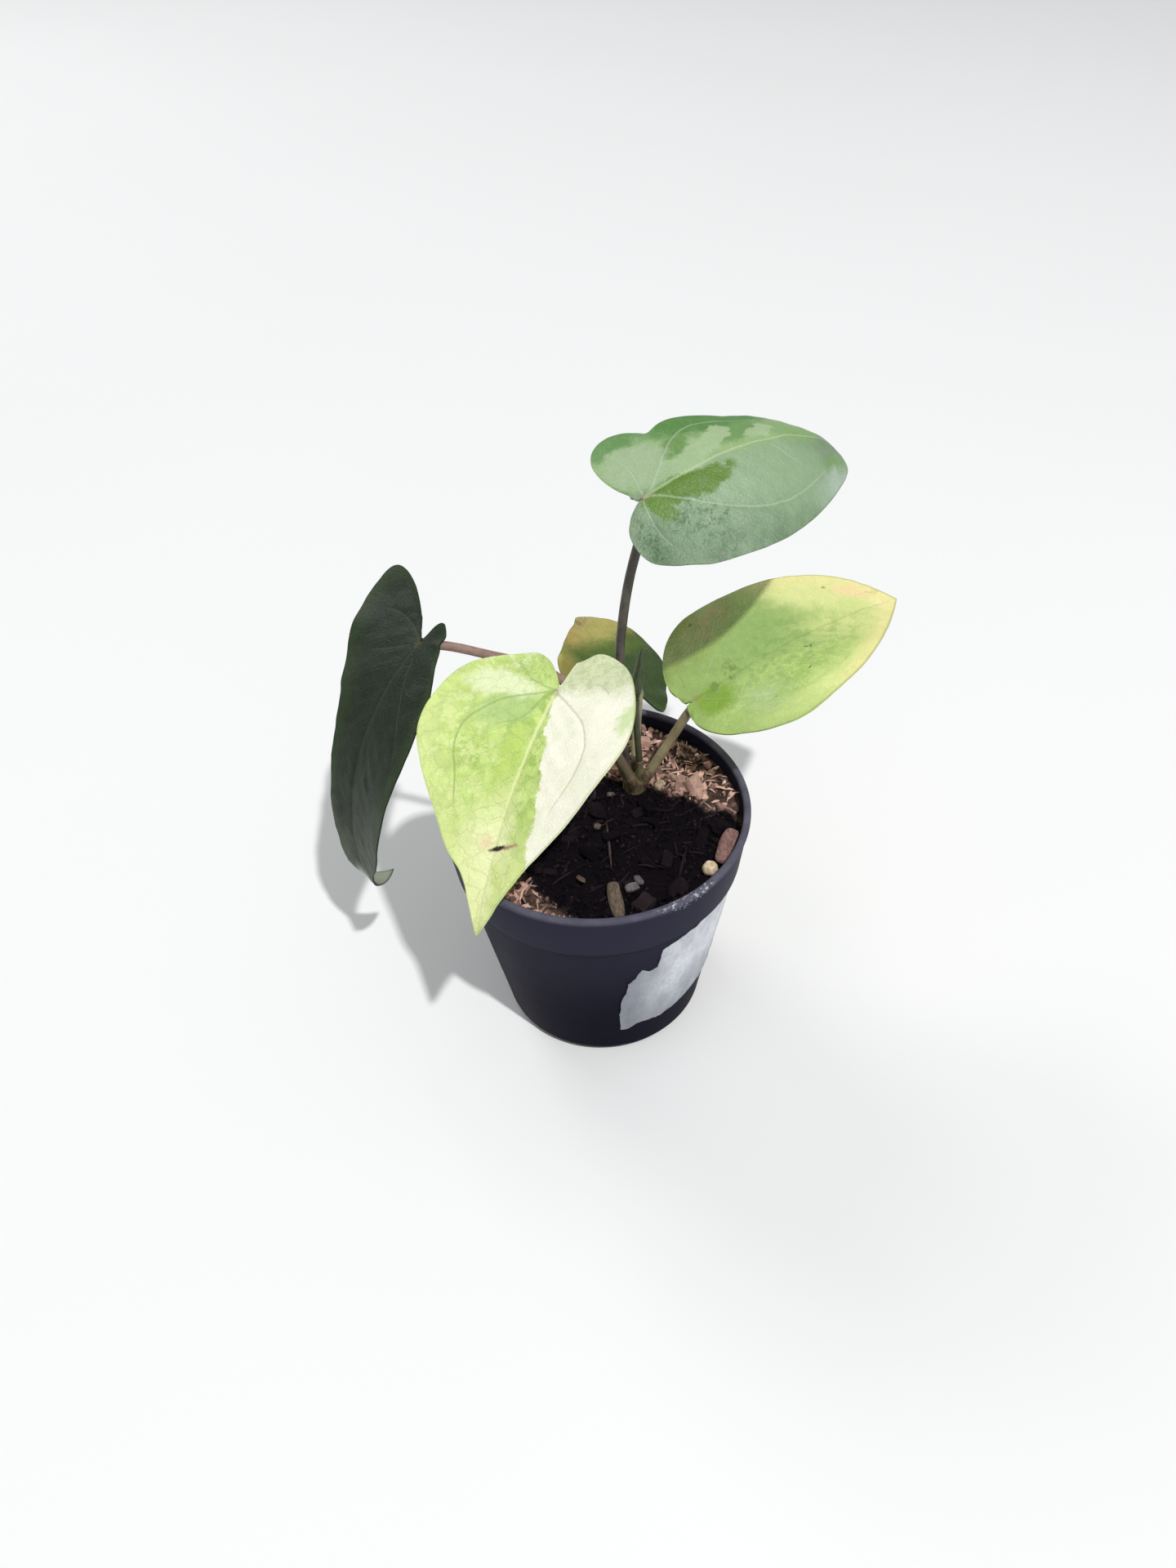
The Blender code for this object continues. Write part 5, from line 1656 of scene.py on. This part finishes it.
def paint_grain():
    """Hard tan shell of a fertiliser grain."""
    tones = (srgb(204, 172, 136), srgb(240, 222, 196))
    paint, _, cloud, tone = grained("fertiliser_shell", 0.5, (1, 1, 1), 0.0014, 4, 0.6,
                                    tones, 0.35, 0.65)
    return paint.finish(tone, 0.4 + cloud * 0.3, paint.bump(cloud, 0.0002, 0.6))


def paint_bit(name, tone):
    """Weathered wood with a fine drawn-out grain."""
    tones = (scaled(tone, 0.45), scaled(tone, 1.15))
    paint, _, grain, colour = grained(name + "_wood", 0.85, (1, 0.35, 1), 0.0006, 5, 0.7,
                                      tones, 0.35, 0.68)
    return paint.finish(colour, 0.7 + grain * 0.25, paint.bump(grain, 0.0003, 0.8))


class ANTHURIUM_OT_leaves(bpy.types.Operator):
    """Shape and colour the five open leaves"""
    bl_idname = "anthurium.leaves"
    bl_label = "Make the leaves"

    def execute(self, context):
        settings = context.scene.anthurium_leaves
        for leaf in LEAVES:
            blade = make_blade(leaf, settings)
            dress(blade, leaf.name, paint_upper(leaf, settings.roughness), paint_under(leaf))
        return {"FINISHED"}


class ANTHURIUM_OT_new_leaf(bpy.types.Operator):
    """Roll the new leaf into its spike"""
    bl_idname = "anthurium.new_leaf"
    bl_label = "Make the new leaf"

    def execute(self, context):
        dress(make_spike(), "blade_new", paint_spike())
        return {"FINISHED"}


class ANTHURIUM_OT_stalks(bpy.types.Operator):
    """Draw the stalk of each leaf from the crown to the blade"""
    bl_idname = "anthurium.stalks"
    bl_label = "Make the stalks"

    def execute(self, context):
        settings = context.scene.anthurium_stalks
        for stalk in STALKS:
            dress(make_stalk(stalk, settings), stalk.name, paint_stalk(stalk))
        return {"FINISHED"}


class ANTHURIUM_OT_crown(bpy.types.Operator):
    """Grow the short stem and its sheaths together"""
    bl_idname = "anthurium.crown"
    bl_label = "Make the crown"

    def execute(self, context):
        dress(make_crown(), "crown", paint_crown())
        return {"FINISHED"}


class ANTHURIUM_OT_stage(bpy.types.Operator):
    """Lay the pale floor, hang the lights and set the camera"""
    bl_idname = "anthurium.stage"
    bl_label = "Set the stage"

    def execute(self, context):
        settings = context.scene.anthurium_stage
        bpy.ops.mesh.primitive_plane_add(size=FLOOR_SIZE, location=(0, 0, FLOOR_HEIGHT))
        floor = context.active_object
        floor.name = "studio_floor"
        bpy.ops.object.transform_apply(location=True, rotation=True, scale=True)
        paint = Paint("floor_paper", 0.9)
        cloud = paint.noise(paint.object_place(), 0.3, 3, 0.5)
        tone = tuple(settings.floor)
        floor.data.materials.append(paint.finish(paint.mix(cloud, scaled(tone, 0.97), tone)))
        self.light("key_light", settings.key, settings.key_size, KEY_WAY, KEY_DISTANCE)
        self.light("soft_fill", settings.back, BACK_SIZE, BACK_WAY, BACK_DISTANCE)
        world = bpy.data.worlds.new("studio_air")
        world.use_nodes = True
        background = world.node_tree.nodes["Background"]
        background.inputs["Color"].default_value = (0.95, 0.97, 1.0, 1.0)
        background.inputs["Strength"].default_value = settings.fill
        context.scene.world = world
        context.scene.view_settings.view_transform = "Standard"
        self.camera(context)
        return {"FINISHED"}

    def light(self, name, power, size, way, distance):
        lamp = bpy.data.lights.new(name, "AREA")
        lamp.energy = power
        lamp.size = size
        item = bpy.data.objects.new(name, lamp)
        bpy.context.scene.collection.objects.link(item)
        item.location = PLANT_MIDDLE + way.normalized() * distance
        item.rotation_euler = way.to_track_quat("Z", "Y").to_euler()

    def camera(self, context):
        """The camera stands where the photograph was taken from."""
        data = bpy.data.cameras.new("photo_camera")
        data.sensor_width = 36.0
        data.lens = CAMERA_LENS
        data.clip_start = 0.01
        camera = bpy.data.objects.new("photo_camera", data)
        context.scene.collection.objects.link(camera)
        turn = Matrix(CAMERA_TURN).transposed().to_4x4()
        camera.matrix_world = Matrix.Translation(CAMERA_PLACE) @ turn
        context.scene.camera = camera


OPERATORS = (ANTHURIUM_OT_pot, ANTHURIUM_OT_label, ANTHURIUM_OT_soil, ANTHURIUM_OT_crown,
             ANTHURIUM_OT_stalks, ANTHURIUM_OT_new_leaf, ANTHURIUM_OT_leaves, ANTHURIUM_OT_stage)
SETTINGS = {
    "anthurium_pot": ANTHURIUM_PG_pot,
    "anthurium_soil": ANTHURIUM_PG_soil,
    "anthurium_leaves": ANTHURIUM_PG_leaves,
    "anthurium_stalks": ANTHURIUM_PG_stalks,
    "anthurium_stage": ANTHURIUM_PG_stage,
}


class ANTHURIUM_PT_sidebar(bpy.types.Panel):
    """Lists the steps and their settings"""
    bl_idname = "ANTHURIUM_PT_sidebar"
    bl_label = "Potted anthurium"
    bl_space_type = "VIEW_3D"
    bl_region_type = "UI"
    bl_category = "Anthurium"

    def draw(self, context):
        for operator in OPERATORS:
            self.layout.operator(operator.bl_idname)
        for name in SETTINGS:
            box = self.layout.box()
            group = getattr(context.scene, name)
            for setting in group.bl_rna.properties:
                if setting.identifier not in ("rna_type", "name"):
                    box.prop(group, setting.identifier)


def register():
    for name, group in SETTINGS.items():
        bpy.utils.register_class(group)
        setattr(bpy.types.Scene, name, bpy.props.PointerProperty(type=group))
    for item in (*OPERATORS, ANTHURIUM_PT_sidebar):
        bpy.utils.register_class(item)


def unregister():
    for item in reversed((*OPERATORS, ANTHURIUM_PT_sidebar)):
        bpy.utils.unregister_class(item)
    for name, group in SETTINGS.items():
        delattr(bpy.types.Scene, name)
        bpy.utils.unregister_class(group)


def main():
    register()
    bpy.ops.anthurium.stage()
    bpy.ops.anthurium.pot()
    bpy.ops.anthurium.label()
    bpy.ops.anthurium.soil()
    bpy.ops.anthurium.crown()
    bpy.ops.anthurium.stalks()
    bpy.ops.anthurium.new_leaf()
    bpy.ops.anthurium.leaves()


if __name__ == "__main__":
    main()
